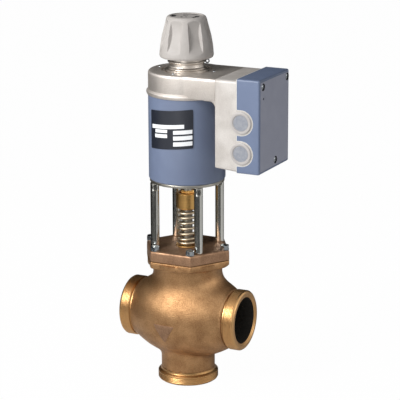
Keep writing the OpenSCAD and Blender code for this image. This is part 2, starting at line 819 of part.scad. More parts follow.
module pillars() {
    flat_cut = pillar_r - pillar_flat_w / 2;
    color("#a9b0b2")
        round_stem(pillar_count, pillar_circle_r, pillar_turn) {
            difference() {
                translate([0, 0, bonnet_top_z]) cylinder(r = pillar_r, h = pillar_h);
                for (side = [-1, 1])
                    translate([-pillar_r - cut_over, side * (pillar_flat_w / 2 + pillar_r) - pillar_r,
                               plate_z - pillar_flat_h])
                        cube([2 * (pillar_r + cut_over), 2 * pillar_r, pillar_flat_h - flat_cut]);
            }
            translate([0, 0, bonnet_top_z - pillar_foot_h])
                cylinder(r = pillar_foot_r, h = pillar_foot_h + cut_over);
            translate([0, 0, plate_z - cut_over]) cylinder(r = pillar_tip_r, h = plate_rim_t + cut_over);
        }
}

module magnet_plate() {
    color("#c6c3bb")
        difference() {
            union() {
                translate([0, 0, plate_z]) cylinder(r = plate_rim_r, h = plate_rim_t);
                translate([0, 0, plate_z])
                    cylinder(r = shell_in_r - running_gap, h = plate_rim_t + plate_spigot_t);
            }
            translate([0, 0, plate_z - cut_over])
                cylinder(r = guide_tube_r + running_gap, h = plate_rim_t + plate_spigot_t + 2 * cut_over);
            round_stem(pillar_count, pillar_circle_r, pillar_turn)
                translate([0, 0, plate_z - cut_over])
                    cylinder(r = pillar_tip_r + running_gap, h = plate_rim_t + face_gap + cut_over);
        }
}

module fixed_core() {
    color("#8d8f92")
        difference() {
            union() {
                translate([0, 0, plate_z - core_flange_t]) cylinder(r = core_flange_r, h = core_flange_t);
                translate([0, 0, plate_z - cut_over]) cylinder(r = armature_r, h = core_h + cut_over);
            }
            translate([0, 0, plate_z - core_flange_t - cut_over])
                cylinder(r = stem_r + stem_gap, h = core_h + core_flange_t + 2 * cut_over);
        }
}

module guide_tube() {
    color("#b5b8bb") ring(guide_tube_r, guide_tube_in_r, plate_z, shell_top_z);
}

module coil_bobbin() {
    color("#2f2f2f") {
        ring(bobbin_in_r + bobbin_wall, bobbin_in_r, bobbin_z, bobbin_z + bobbin_h);
        ring(bobbin_r, bobbin_in_r, bobbin_z, bobbin_z + bobbin_wall);
        ring(bobbin_r, bobbin_in_r, bobbin_z + bobbin_h - bobbin_wall, bobbin_z + bobbin_h);
    }
}

module coil_winding() {
    color("#a35a33")
        ring(winding_r, bobbin_in_r + bobbin_wall + running_gap, bobbin_z + bobbin_wall + running_gap,
             bobbin_z + bobbin_h - bobbin_wall - running_gap);
}

module upper_yoke() {
    color("#8d8f92")
        difference() {
            ring(shell_in_r - running_gap, guide_tube_r + running_gap, yoke_z, shell_top_z);
            translate([lead_x, 0, yoke_z - cut_over])
                cylinder(r = lead_gap - lead_r, h = yoke_t + 2 * cut_over);
        }
}

module magnet_shell() {
    color("#7f93b5") ring(shell_r, shell_in_r, shell_z, shell_top_z);
}

module nameplate() {
    in_r = shell_r + running_gap;
    color("#1d2129")
        rotate([0, 0, nameplate_turn - nameplate_span / 2])
            translate([0, 0, shell_top_z - nameplate_drop - nameplate_h])
                rotate_extrude(angle = nameplate_span) translate([in_r, 0])
                    square([nameplate_t, nameplate_h]);
}

// Outline of the cap's round part, from the stem to its outside
module cap_outline() {
    skirt_z = shell_top_z - cap_skirt_h;
    skirt_r = shell_r + cap_bead_w / 2;
    difference() {
        union() {
            translate([0, cap_z]) square([shell_r, cap_h - cap_round]);
            translate([0, cap_z]) square([shell_r - cap_round, cap_h]);
            translate([shell_r - cap_round, cap_top_z - cap_round]) circle(r = cap_round);
            polygon([
                [0, skirt_z], [skirt_r, skirt_z], [bead_r, cap_z], [bead_r, cap_z + cap_bead_h / 2],
                [shell_r, cap_z + cap_bead_h], [0, cap_top_z - cap_round]
            ]);
        }
        translate([0, skirt_z - cut_over]) square([shell_r + face_gap / 2, cap_z - skirt_z + cut_over]);
        translate([0, cap_z - cut_over]) square([cap_in_r, cap_in_z - cap_z + cut_over]);
    }
}

// Arm from the stem to the electronics base, with the fillet under its end
module arm() {
    arm_h = cap_top_z - arm_z;
    translate([0, 0, arm_z + arm_h / 2]) along_x() linear_extrude(height = arm_reach) rotate([0, 0, 90])
        round_rect(arm_w, arm_h, cap_round);
    translate([arm_reach, 0, arm_z]) along_front()
        linear_extrude(height = arm_w - 2 * cap_round, center = true)
            difference() {
                translate([-arm_fillet, -arm_fillet]) square([arm_fillet, arm_fillet + cap_round]);
                translate([-arm_fillet, -arm_fillet]) circle(r = arm_fillet);
            }
}

module top_cap() {
    color("#a8a198")
        difference() {
            union() {
                rotate_extrude() cap_outline();
                difference() {
                    arm();
                    cylinder(r = cap_in_r, h = cap_in_z);
                    cylinder(r = shell_r + face_gap / 2, h = cap_z);
                }
            }
            translate([0, -window_half_w, window_z])
                cube([arm_reach + cut_over, 2 * window_half_w, window_top_z - window_z]);
            translate([0, 0, cap_in_z - cut_over])
                cylinder(r = collar_foot_r + running_gap, h = cap_top_t + 2 * cut_over);
            ring(collar_r + cap_ring_w, collar_r, cap_top_z - cap_ring_d, cap_top_z + cut_over);
            round_stem(rivet_count, rivet_circle_r)
                translate([0, 0, cap_in_z - cut_over])
                    cylinder(r = rivet_r / 2 + running_gap, h = cap_top_t + 2 * cut_over);
            arm_screw_places() translate([0, 0, -base_screw_grip - face_gap])
                cylinder(r = base_screw_r + running_gap, h = base_screw_grip + face_gap + cut_over);
        }
}

module cap_rivets() {
    color("#d8d8d4")
        round_stem(rivet_count, rivet_circle_r) {
            translate([0, 0, cap_in_z]) cylinder(r = rivet_r / 2, h = cap_top_t);
            translate([0, 0, cap_top_z]) cylinder(r = rivet_r, h = rivet_head_h);
        }
}

// Threaded neck that the handwheel's sleeve slides in
module handwheel_neck() {
    color("#9b948a")
        difference() {
            union() {
                translate([0, 0, collar_floor_z])
                    cylinder(r = collar_foot_r, h = collar_top_z - collar_floor_z);
                translate([0, 0, cap_top_z]) cylinder(r = collar_waist_r, h = collar_h);
                translate([0, 0, cap_top_z]) cylinder(r = collar_r, h = collar_rib_t);
                translate([0, 0, cap_top_z + 2 * collar_rib_t]) cylinder(r = collar_r, h = collar_rib_t);
                translate([0, 0, collar_top_z - collar_flange_t])
                    cylinder(r = collar_r, h = collar_flange_t);
            }
            translate([0, 0, collar_floor_z + collar_floor_t])
                cylinder(r = collar_bore_r, h = collar_top_z - collar_floor_z);
            square_bar(tail_hole_w, collar_floor_z - cut_over, collar_floor_z + collar_floor_t + cut_over);
            ring(collar_bore_r + ring_groove_d, 0, ring_z, ring_top_z);
        }
}

module seal_eyelet() {
    color("#d8d8d4")
        rotate([0, 0, eyelet_turn])
            translate([collar_r + eyelet_r + seat_touch, eyelet_t / 2, collar_top_z - collar_flange_t / 2])
                along_front()
                    difference() {
                        cylinder(r = eyelet_r, h = eyelet_t);
                        translate([0, 0, -cut_over])
                            cylinder(r = eyelet_hole_r, h = eyelet_t + 2 * cut_over);
                    }
}

module neck_ring() {
    color("#55585c")
        ring(collar_bore_r + ring_groove_d - seat_touch, sleeve_r + face_gap, ring_z, ring_top_z);
}

module press_spring() {
    color("#9a9a96")
        ring(collar_bore_r - face_gap, press_spring_in_r, collar_floor_z + collar_floor_t,
             sleeve_flange_z);
}

module press_sleeve() {
    color("#b98f4a")
        difference() {
            union() {
                square_bar(sleeve_tail_w, sleeve_tail_z, sleeve_flange_z + sleeve_flange_t);
                translate([0, 0, sleeve_flange_z])
                    cylinder(r = collar_bore_r - running_gap, h = sleeve_flange_t);
                translate([0, 0, sleeve_flange_z])
                    cylinder(r = sleeve_r, h = sleeve_top_z - sleeve_flange_z);
            }
            square_bar(spindle_hole_w, sleeve_tail_z - cut_over, sleeve_top_z + cut_over);
            ring(sleeve_r + cut_over, sleeve_r - ring_groove_d, clip_z, clip_z + clip_t);
        }
}

module sleeve_clip() {
    color("#55585c")
        ring(sleeve_r + clip_w, sleeve_r - ring_groove_d + seat_touch, clip_z, clip_z + clip_t);
}

module thrust_spindle() {
    color("#b5b8bb") {
        square_bar(spindle_w, spindle_z, spindle_shoulder_z);
        translate([0, 0, spindle_shoulder_z])
            cylinder(r = spindle_w / 2, h = spindle_top_z - spindle_shoulder_z);
    }
}

// Outline of the handwheel, from the stem to its outside
module handwheel_outline() {
    skirt_r = handwheel_r - handwheel_rim_w;
    polygon([
        [0, handwheel_z + handwheel_h / 4], [skirt_r, handwheel_z + handwheel_h / 8],
        [skirt_r, handwheel_z],
        for (p = handwheel_outline_shares) [p[0] * handwheel_r, handwheel_z + p[1] * handwheel_h],
        [0, handwheel_top_z]
    ]);
}

// Cutter of one flute, along the handwheel's side
module flute() {
    low = [flute_line_shares[0][0] * handwheel_r, flute_line_shares[0][1] * handwheel_h];
    high = [flute_line_shares[1][0] * handwheel_r, flute_line_shares[1][1] * handwheel_h];
    lean = atan2(low[0] - high[0], high[1] - low[1]);
    half_w = flute_floor_w / 2;
    wide = half_w + flute_slope * flute_cut_d;
    translate([low[0], 0, handwheel_z + low[1]]) rotate([0, -lean, 0])
        linear_extrude(height = handwheel_h)
            polygon([[0, -half_w], [flute_cut_d, -wide], [flute_cut_d, wide], [0, half_w]]);
}

module handwheel() {
    color("#b7b4ae")
        difference() {
            union() {
                rotate_extrude() handwheel_outline();
                translate([0, 0, hub_low_z]) cylinder(r = hub_r, h = hub_high_z - hub_low_z);
            }
            translate([0, 0, hub_low_z - cut_over])
                cylinder(r = sleeve_r + running_gap, h = handwheel_h + handwheel_gap);
            translate([0, 0, hub_high_z]) cylinder(r = sleeve_r + clip_w + face_gap, h = clip_room_h);
            translate([0, 0, nut_z]) cylinder(r = nut_r + running_gap, h = handwheel_h);
            translate([0, 0, cap_disc_z]) cylinder(r = cap_disc_r + running_gap, h = handwheel_h);
            for (i = [0 : flute_count - 1]) rotate([0, 0, flute_turn + i * 360 / flute_count]) flute();
        }
}

module handwheel_nut() {
    color("#b98f4a") ring(nut_r, spindle_w / 2 + running_gap, nut_z, nut_z + nut_h);
}

// Disc in the handwheel's top, with three curved slots
module handwheel_cap() {
    color("#a6a39d")
        difference() {
            translate([0, 0, cap_disc_z]) cylinder(r = cap_disc_r, h = cap_disc_t);
            for (i = [0 : slot_count - 1]) rotate([0, 0, flute_turn + i * 360 / slot_count])
                translate([0, 0, cap_disc_z + cap_disc_t - slot_d])
                    rotate_extrude(angle = slot_span) translate([slot_r, 0])
                        square([slot_w, slot_d + cut_over]);
        }
}

// Side outline of the metal base, with X across and Z up
module base_outline(inset) {
    end_x = base_end_x + (inset > 0 ? cut_over : 0);
    polygon([
        [base_x + inset, base_low_z + inset], [end_x, base_low_z - base_slope + inset],
        [end_x, base_top_z - inset], [base_x + inset, base_top_z - inset]
    ]);
}

// Places of the cover's screws, with Z along +X
module cover_screw_places(x) {
    for (p = cover_screw_shares)
        translate([x, p[0] * arm_half_w, base_low_z + p[1] * base_h]) along_x() children();
}

// Places of the screws that hold the base to the arm, with Z along +X
module arm_screw_places() {
    for (side = [-1, 1])
        translate([arm_reach, side * (window_half_w + cap_wall), arm_screw_z])
            along_x() children();
}

// Places of the cable entries, with Z along -Y from the front wall's outer face
module entry_place(h) {
    translate([entry_x, -arm_half_w, base_low_z + h]) along_front() children();
}

module electronics_base() {
    color("#c9c2b6")
        difference() {
            union() {
                difference() {
                    along_front() linear_extrude(height = arm_w, center = true) base_outline(0);
                    along_front() linear_extrude(height = arm_w - 2 * base_wall, center = true)
                        base_outline(base_wall);
                }
                cover_screw_places(base_x) cylinder(r = cover_post_r, h = base_d);
                for (h = [lower_entry_h, upper_entry_h])
                    entry_place(h) translate([0, 0, -entry_boss_d])
                        cylinder(r = entry_boss_r, h = entry_boss_d);
            }
            for (h = [lower_entry_h, upper_entry_h])
                entry_place(h) translate([0, 0, -entry_boss_d - cut_over])
                    cylinder(r = entry_bore_r, h = entry_boss_d + 2 * cut_over);
            cover_screw_places(base_end_x - cover_screw_grip)
                cylinder(r = cover_screw_r + running_gap, h = cover_screw_grip + cut_over);
            translate([base_x - cut_over, -window_half_w, window_z])
                cube([base_wall + 2 * cut_over, 2 * window_half_w, window_top_z - window_z]);
            arm_screw_places() translate([0, 0, -cut_over])
                cylinder(r = base_screw_r + running_gap, h = base_wall + 2 * cut_over);
        }
}

module base_screws() {
    color("#c9ccd0")
        arm_screw_places() {
            translate([0, 0, -base_screw_grip]) cylinder(r = base_screw_r, h = base_wall + base_screw_grip);
            translate([0, 0, base_wall]) cylinder(r = base_screw_head_r, h = base_screw_head_t);
        }
}

// Places of the circuit board's standoffs, with Z along +X
module standoff_places() {
    for (side = [-1, 1], z = [standoff_low_z, standoff_high_z])
        translate([base_x + base_wall, side * board_half_w * standoff_share, z])
            along_x() children();
}

module board_standoffs() {
    color("#c9a254") standoff_places() cylinder(r = standoff_r, h = board_stand);
}

module circuit_board() {
    color("#2f6b46")
        translate([board_x, -board_half_w, board_z]) cube([board_t, 2 * board_half_w, board_h]);
}

module terminal_blocks() {
    color("#d9d6cc")
        for (i = [0 : block_count - 1]) {
            level_share = block_z_share + i * block_pitch_share;
            translate([board_end_x, -block_w / 2, board_z + board_h * level_share])
                difference() {
                    cube([block_d, block_w, block_h]);
                    for (k = [0 : block_screw_count - 1])
                        translate([block_d - block_screw_d, block_w * (k + 1 / 2) / block_screw_count,
                                   block_h / 2])
                            along_x() cylinder(r = block_screw_r, h = block_screw_d + cut_over);
                }
        }
}

module coil_leads() {
    color("#a33c2e")
        for (side = [-1, 1]) translate([0, side * lead_gap / 2, 0]) {
            translate([lead_x, 0, bobbin_z + bobbin_h])
                cylinder(r = lead_r, h = lead_z + lead_r - bobbin_z - bobbin_h);
            translate([lead_x, 0, lead_z]) along_x() cylinder(r = lead_r, h = board_x - lead_x);
        }
}

// Outline of the cover seen from its outer side, with X down and Y across
module cover_outline(inset) {
    h = cover_top_z - cover_low_z - 2 * inset;
    translate([-(cover_top_z + cover_low_z) / 2, 0]) round_rect(h, arm_w - 2 * inset, cover_round);
}

module cover_seal() {
    color("#e2e2de")
        translate([base_end_x, 0, 0]) along_x()
            linear_extrude(height = cover_seal_t)
                difference() {
                    cover_outline(0);
                    cover_outline(cover_wall);
                    for (h = [lower_entry_h, upper_entry_h])
                        translate([-base_low_z - h - entry_boss_r - face_gap, -arm_half_w - cut_over])
                            square([2 * (entry_boss_r + face_gap), entry_boss_d + cut_over]);
                }
}

// Block over the cover's outer edges, from which their rounding is cut
module cover_end_block() {
    translate([cover_end_x - cover_round, -arm_w, cover_low_z - arm_w])
        cube([arm_w, 2 * arm_w, cover_top_z - cover_low_z + 2 * arm_w]);
}

module terminal_cover() {
    cover_h = cover_top_z - cover_low_z;
    mid_z = (cover_top_z + cover_low_z) / 2;
    color("#6f86ad")
        difference() {
            union() {
                difference() {
                    translate([cover_x, 0, 0]) along_x() linear_extrude(height = cover_d) cover_outline(0);
                    translate([cover_x - cut_over, 0, 0]) along_x()
                        linear_extrude(height = cover_d - cover_wall + cut_over) cover_outline(cover_wall);
                }
                cover_screw_places(cover_x) cylinder(r = cover_post_r, h = cover_d - cover_wall);
            }
            difference() {
                cover_end_block();
                translate([cover_end_x - cover_d / 2, 0, mid_z])
                    linear_extrude(height = 3 * cover_h, center = true)
                        round_rect(cover_d, arm_w, cover_round);
            }
            difference() {
                cover_end_block();
                translate([cover_end_x - cover_d / 2, 0, mid_z]) along_front()
                    linear_extrude(height = 3 * arm_w, center = true)
                        round_rect(cover_d, cover_h, cover_round);
            }
            for (h = [lower_entry_h, upper_entry_h])
                entry_place(h) translate([0, 0, -entry_boss_d])
                    cylinder(r = entry_boss_r + face_gap, h = arm_w);
            cover_screw_places(cover_x - cut_over)
                cylinder(r = cover_screw_r + face_gap, h = cover_d + 2 * cut_over);
            cover_screw_places(cover_end_x - cover_screw_sink - cover_screw_head_t)
                cylinder(r = cover_screw_head_r + face_gap, h = cover_d);
            translate([cover_x, led_y, led_z]) along_x()
                cylinder(r = led_r + running_gap, h = cover_d + cut_over);
        }
}

module cover_screws() {
    shank_x = base_end_x - cover_screw_grip + face_gap;
    head_x = cover_end_x - cover_screw_sink - cover_screw_head_t;
    color("#c9ccd0") {
        cover_screw_places(shank_x) cylinder(r = cover_screw_r, h = head_x - shank_x + cover_screw_head_t);
        cover_screw_places(head_x) cylinder(r = cover_screw_head_r, h = cover_screw_head_t);
    }
}

module status_led() {
    color("#20242b")
        translate([board_end_x, led_y, led_z]) along_x()
            cylinder(r = led_r, h = cover_end_x - board_end_x + face_gap);
}

// Blanking plug with a thin membrane over its mouth
module cable_plug(h) {
    shank_r = entry_bore_r - running_gap;
    entry_place(h)
        difference() {
            union() {
                cylinder(r = plug_flange_r, h = plug_flange_t);
                translate([0, 0, -entry_boss_d]) cylinder(r = shank_r, h = entry_boss_d + plug_flange_t);
            }
            translate([0, 0, -entry_boss_d - cut_over])
                cylinder(r = shank_r - plug_wall, h = entry_boss_d + plug_flange_t - membrane_t);
        }
}

module upper_cable_plug() {
    color("#dcdcd8") cable_plug(upper_entry_h);
}

module lower_cable_plug() {
    color("#dcdcd8") cable_plug(lower_entry_h);
}

module valve_stem() {
    color("#6f7073") translate([0, 0, stem_z]) cylinder(r = stem_r, h = stem_top_z - stem_z);
}

// Double-seated plug with a throttling cone at each end
module valve_plug() {
    low = plug_z;
    high = plug_top_z;
    outline = [
        [0, low - plug_cone_h], [plug_cone_tip_r, low - plug_cone_h], [plug_hub_r, low],
        [plug_hub_r, low + plug_seal_t], [plug_r, low + plug_seal_t], [plug_r, high - plug_seal_t],
        [plug_hub_r, high - plug_seal_t], [plug_hub_r, high], [plug_cone_tip_r, high + plug_cone_h],
        [0, high + plug_cone_h]
    ];
    color("#a98549")
        difference() {
            rotate_extrude() polygon(outline);
            translate([0, 0, stem_z]) cylinder(r = stem_r, h = stem_top_z - stem_z);
        }
}

module upper_plug_seal() {
    color("#e6e2d6") ring(plug_seal_r, plug_hub_r, plug_top_z - plug_seal_t, plug_top_z);
}

module lower_plug_seal() {
    color("#e6e2d6") ring(plug_seal_r, plug_hub_r, plug_z, plug_z + plug_seal_t);
}

module spring_retainer() {
    top_z = retainer_z + retainer_h;
    outline = [
        [stem_r, retainer_z], [retainer_r - retainer_chamfer, retainer_z],
        [retainer_r, retainer_z + retainer_chamfer], [retainer_r, top_z], [lock_nut_r + face_gap, top_z],
        [lock_nut_r + face_gap, top_z - retainer_recess_d], [stem_r, top_z - retainer_recess_d]
    ];
    color("#b8893c")
        difference() {
            rotate_extrude() polygon(outline);
            rotate([0, 0, spring_start_turn + 360 * spring_turns])
                translate([helix_r, 0, retainer_z - cut_over])
                    cylinder(r = tip_hole_r, h = tip_hole_d + cut_over);
        }
}

module lock_nut() {
    color("#b8893c")
        difference() {
            translate([0, 0, lock_nut_z]) cylinder(r = lock_nut_r, h = lock_nut_h, $fn = 6);
            translate([0, 0, lock_nut_z - cut_over]) cylinder(r = stem_r, h = lock_nut_h + 2 * cut_over);
        }
}

module armature() {
    color("#8d8f92")
        difference() {
            translate([0, 0, armature_z]) cylinder(r = armature_r, h = armature_h);
            translate([0, 0, armature_z - cut_over])
                cylinder(r = stem_r, h = stem_top_z - armature_z + cut_over);
        }
}

valve_body();
inlet_collar();
outlet_collar();
bypass_collar();
upper_seat_ring();
lower_seat_ring();
bonnet();
bonnet_gasket();
bonnet_bolts();
guide_bush();
stem_seal();
gland_bush();
spring_seat();
pillars();
magnet_plate();
fixed_core();
guide_tube();
coil_bobbin();
coil_winding();
upper_yoke();
magnet_shell();
nameplate();
top_cap();
cap_rivets();
handwheel_neck();
seal_eyelet();
neck_ring();
press_spring();
electronics_base();
base_screws();
board_standoffs();
circuit_board();
terminal_blocks();
coil_leads();
cover_seal();
terminal_cover();
cover_screws();
status_led();
upper_cable_plug();
lower_cable_plug();
return_spring();
valve_stem();
valve_plug();
upper_plug_seal();
lower_plug_seal();
spring_retainer();
lock_nut();
armature();
press_sleeve();
sleeve_clip();
thrust_spindle();
handwheel();
handwheel_nut();
handwheel_cap();
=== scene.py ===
"""Modulating solenoid valve: cast body, pillars, magnet, handwheel and terminal housing.

Sizes are in millimetres, in the CAD frame: +Z runs up the stem and +X through the outlet port.
"""
import logging
from dataclasses import dataclass
from enum import Enum
from math import acos, atan2, ceil, cos, degrees, hypot, pi, radians, sin, sqrt, tan
from typing import Callable, Iterable, Sequence

import bmesh
import bpy
import numpy as np
from bpy.types import ID, Material, Mesh, Node, NodeSocket, NodeTree, Object
from mathutils import Matrix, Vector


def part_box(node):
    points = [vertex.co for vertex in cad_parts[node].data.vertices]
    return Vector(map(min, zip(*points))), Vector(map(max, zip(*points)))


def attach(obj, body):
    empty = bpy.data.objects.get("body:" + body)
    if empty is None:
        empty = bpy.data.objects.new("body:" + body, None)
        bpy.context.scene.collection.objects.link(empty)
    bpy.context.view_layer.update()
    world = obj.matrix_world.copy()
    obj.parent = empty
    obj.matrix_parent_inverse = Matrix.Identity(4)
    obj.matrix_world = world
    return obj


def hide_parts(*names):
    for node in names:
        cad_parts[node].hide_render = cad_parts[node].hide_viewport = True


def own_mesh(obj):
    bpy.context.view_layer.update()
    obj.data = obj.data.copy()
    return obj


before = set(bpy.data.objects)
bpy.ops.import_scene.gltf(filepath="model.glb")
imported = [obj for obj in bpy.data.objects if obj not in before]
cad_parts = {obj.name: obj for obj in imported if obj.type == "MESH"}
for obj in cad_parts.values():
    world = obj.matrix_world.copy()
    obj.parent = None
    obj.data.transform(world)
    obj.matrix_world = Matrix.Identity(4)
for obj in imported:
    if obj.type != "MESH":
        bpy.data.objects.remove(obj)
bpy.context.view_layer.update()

MM = 0.001
LOG = logging.getLogger("valve")
Vec = tuple[float, float, float]
Corner = tuple[float, float, float]
Span = tuple[float, float]
Array = np.ndarray
Rule = Callable[[Array], Array]


class Axis(Enum):
    """Where a form's own Z axis points once it is turned into place."""

    RIGHT = ((0, 0, 1), (0, 1, 0), (-1, 0, 0))
    LEFT = ((0, 0, -1), (0, 1, 0), (1, 0, 0))
    FRONT = ((1, 0, 0), (0, 0, -1), (0, 1, 0))


class Body(Enum):
    """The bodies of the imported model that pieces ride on."""

    HOUSING = "housing"
    STEM = "stem_set"
    WHEEL = "handwheel"


# Outlines

def rounded(corners: Sequence[Corner], steps: int = 6, loop: bool = False) -> list[Span]:
    """Runs through corners with arcs, and with a guard point on the flat beside each arc.

    Args:
        corners: Each corner's place across and along, and its rounding.
        steps: Steps of each arc.
        loop: Whether the last corner joins the first.

    Returns:
        The outline's points.
    """
    out: list[Span] = []
    count = len(corners)
    most, guard, room = 0.48, 1.2, 2.6
    for i, (a, b, r) in enumerate(corners):
        here = np.array((a, b), float)
        if r <= 0 or (not loop and i in (0, count - 1)):
            out.append((a, b))
            continue
        back = np.array(corners[i - 1][:2], float) - here
        on = np.array(corners[(i + 1) % count][:2], float) - here
        l_back, l_on = np.linalg.norm(back), np.linalg.norm(on)
        back, on = back / l_back, on / l_on
        half = acos(float(np.clip(back @ on, -1, 1))) / 2
        run = min(r / tan(half), most * l_back, most * l_on)
        r = run * tan(half)
        mid = here + (back + on) / np.linalg.norm(back + on) * r / sin(half)
        first, last = here + back * run - mid, here + on * run - mid
        turn = pi - 2 * half
        if l_back > room * run:
            out.append(tuple(here + back * run * guard))
        for k in range(steps + 1):
            t = k / steps
            out.append(tuple(mid + (sin((1 - t) * turn) * first + sin(t * turn) * last) / sin(turn)))
        if l_on > room * run:
            out.append(tuple(here + on * run * guard))
    return out


def threaded(r: float, low: float, high: float, pitch: float, depth: float) -> list[Corner]:
    """Corners of a fine thread's outline.

    Args:
        r: Radius over the crests.
        low: Level of the first crest.
        high: Level of the last crest.
        pitch: Distance between crests.
        depth: Depth of the grooves.

    Returns:
        Corners from low to high.
    """
    count = max(1, round((high - low) / pitch))
    step = (high - low) / count
    out: list[Corner] = [(r, low, 0)]
    for k in range(count):
        out += [(r, low + (k + 0.18) * step, 0), (r - depth, low + (k + 0.5) * step, 0),
                (r, low + (k + 0.82) * step, 0)]
    return out + [(r, high, 0)]


def smooth_min(a: Array, b: Array, k: float) -> Array:
    """Lesser of a and b, blended over k."""
    h = np.maximum(k - np.abs(a - b), 0) / k
    return np.minimum(a, b) - h * h * k / 4


def smooth_max(a: Array, b: Array, k: float) -> Array:
    """Greater of a and b, blended over k."""
    return -smooth_min(-a, -b, k)


# Forms

@dataclass
class Form:
    """A mesh in the making: points in millimetres and faces of point numbers."""

    points: Array
    faces: list[tuple[int, ...]]

    def __add__(self, other: "Form") -> "Form":
        """Both forms together."""
        shift = len(self.points)
        return Form(np.vstack([self.points, other.points]),
                    self.faces + [tuple(i + shift for i in f) for f in other.faces])

    def turned(self, axis: Axis) -> "Form":
        """The form with its Z axis pointing along axis."""
        return Form(self.points @ np.array(axis.value, float).T, self.faces)

    def moved(self, x: float = 0, y: float = 0, z: float = 0) -> "Form":
        """The form moved by x, y and z."""
        return Form(self.points + np.array((x, y, z), float), self.faces)

    def spun(self, angle: float) -> "Form":
        """The form turned about Z by an angle in degrees."""
        a = radians(angle)
        turn = np.array(((cos(a), -sin(a), 0), (sin(a), cos(a), 0), (0, 0, 1)))
        return Form(self.points @ turn.T, self.faces)

    def mesh(self, name: str) -> Mesh:
        """A Blender mesh of the form in metres, closed and with its faces pointing outwards.

        Args:
            name: The mesh's name.

        Returns:
            The mesh.
        """
        mesh = bpy.data.meshes.new(name)
        mesh.from_pydata((self.points * MM).tolist(), [], self.faces)
        edit = bmesh.new()
        edit.from_mesh(mesh)
        bmesh.ops.remove_doubles(edit, verts=edit.verts, dist=1e-6)
        bmesh.ops.recalc_face_normals(edit, faces=edit.faces)
        edit.to_mesh(mesh)
        edit.free()
        return mesh


def loft(rows: Sequence[Array], ring: bool = False, ends: bool = False) -> Form:
    """Skins rows of points that are each closed.

    Args:
        rows: Rows of the same number of points.
        ring: Whether the last row joins the first.
        ends: Whether the first and last rows are closed with flat faces.

    Returns:
        The skinned form.
    """
    count, side = len(rows), len(rows[0])
    points = np.vstack(rows)
    faces: list[tuple[int, ...]] = []
    for i in range(count if ring else count - 1):
        a, b = i * side, ((i + 1) % count) * side
        faces += [(a + k, a + (k + 1) % side, b + (k + 1) % side, b + k) for k in range(side)]
    if ends:
        faces += [tuple(range(side))[::-1], tuple(range((count - 1) * side, count * side))]
    return Form(points, faces)


def held(line: Sequence[Span], loop: bool) -> list[Span]:
    """Adds a point close to both ends of each long side, so that its shading stays even.

    Args:
        line: Points of radius and height.
        loop: Whether the line closes on itself.

    Returns:
        The points with the added ones.
    """
    made: list[Span] = []
    longest, beside = 2.0, 0.2
    for i, (a, b) in enumerate(line):
        made.append((a, b))
        if i + 1 == len(line) and not loop:
            break
        c, d = line[(i + 1) % len(line)]
        length = hypot(c - a, d - b)
        if length > longest:
            made += [(a + (c - a) * k, b + (d - b) * k) for k in (beside / length, 1 - beside / length)]
    return made


def lathe(corners: Sequence[Corner], ring: bool = False, sides: int = 96, steps: int = 5,
          span: Span = (0, 360)) -> Form:
    """Turns an outline about Z.

    Args:
        corners: The outline's corners: radius, height and rounding.
        ring: Whether the outline closes on itself, round a bore.
        sides: Sides of the full turn.
        steps: Steps of each rounding.
        span: First and last angle in degrees.

    Returns:
        The turned form.
    """
    outline = held(rounded(corners, steps, ring), ring)
    if span[1] - span[0] >= 360:
        angles = np.linspace(0, 2 * pi, sides, endpoint=False)
        rows = [np.stack([r * np.cos(angles), r * np.sin(angles), np.full(sides, z)], 1) for r, z in outline]
        return loft(rows, ring)
    angles = np.radians(np.linspace(span[0], span[1], sides))
    rows = [np.array([(r * cos(a), r * sin(a), z) for r, z in outline]) for a in angles]
    return loft(rows, ends=True)


def polar(rows: Sequence[tuple[Rule, float]], sides: int, ring: bool = False) -> Form:
    """Skins rows, each a radius as a function of the angle and a height."""
    t = np.linspace(0, 2 * pi, sides, endpoint=False)
    return loft([np.stack([f(t) * np.cos(t), f(t) * np.sin(t), np.full(sides, z)], 1) for f, z in rows], ring)


def even(r: float) -> Rule:
    """A round row for polar."""
    return lambda t: np.full(len(t), float(r))


def six_sided(flat: float, cap: float, turn: float = 0.0) -> Rule:
    """A hexagonal row for polar.

    Args:
        flat: Distance of the flats from the axis.
        cap: Greatest radius.
        turn: Turn of the hexagon in radians.

    Returns:
        The radius as a function of the angle.
    """
    def radius(t: Array) -> Array:
        """Radius at each angle."""
        return np.minimum(flat / np.cos((t + turn) % (pi / 3) - pi / 6), cap)
    return radius


def block(x: Span, y: Span, z: Span) -> Form:
    """A plain box between its ends along X, Y and Z."""
    ring = ((x[0], y[0]), (x[1], y[0]), (x[1], y[1]), (x[0], y[1]))
    return Form(np.array([(a, b, c) for c in z for a, b in ring], float),
                [(0, 3, 2, 1), (4, 5, 6, 7), (0, 1, 5, 4), (1, 2, 6, 5), (2, 3, 7, 6), (3, 0, 4, 7)])


def together(forms: Iterable[Form]) -> Form:
    """All of the forms as one.

    Args:
        forms: One form or more.

    Returns:
        The joined form.
    """
    first, *rest = forms
    for form in rest:
        first = first + form
    return first


def round_places(radii: Sequence[float], first: float, z: float) -> list[Vec]:
    """Even places round the stem at radii and level z, from the angle first in degrees."""
    angles = [radians(first + 360 / len(radii) * i) for i in range(len(radii))]
    return [(r * cos(a), r * sin(a), z) for r, a in zip(radii, angles)]


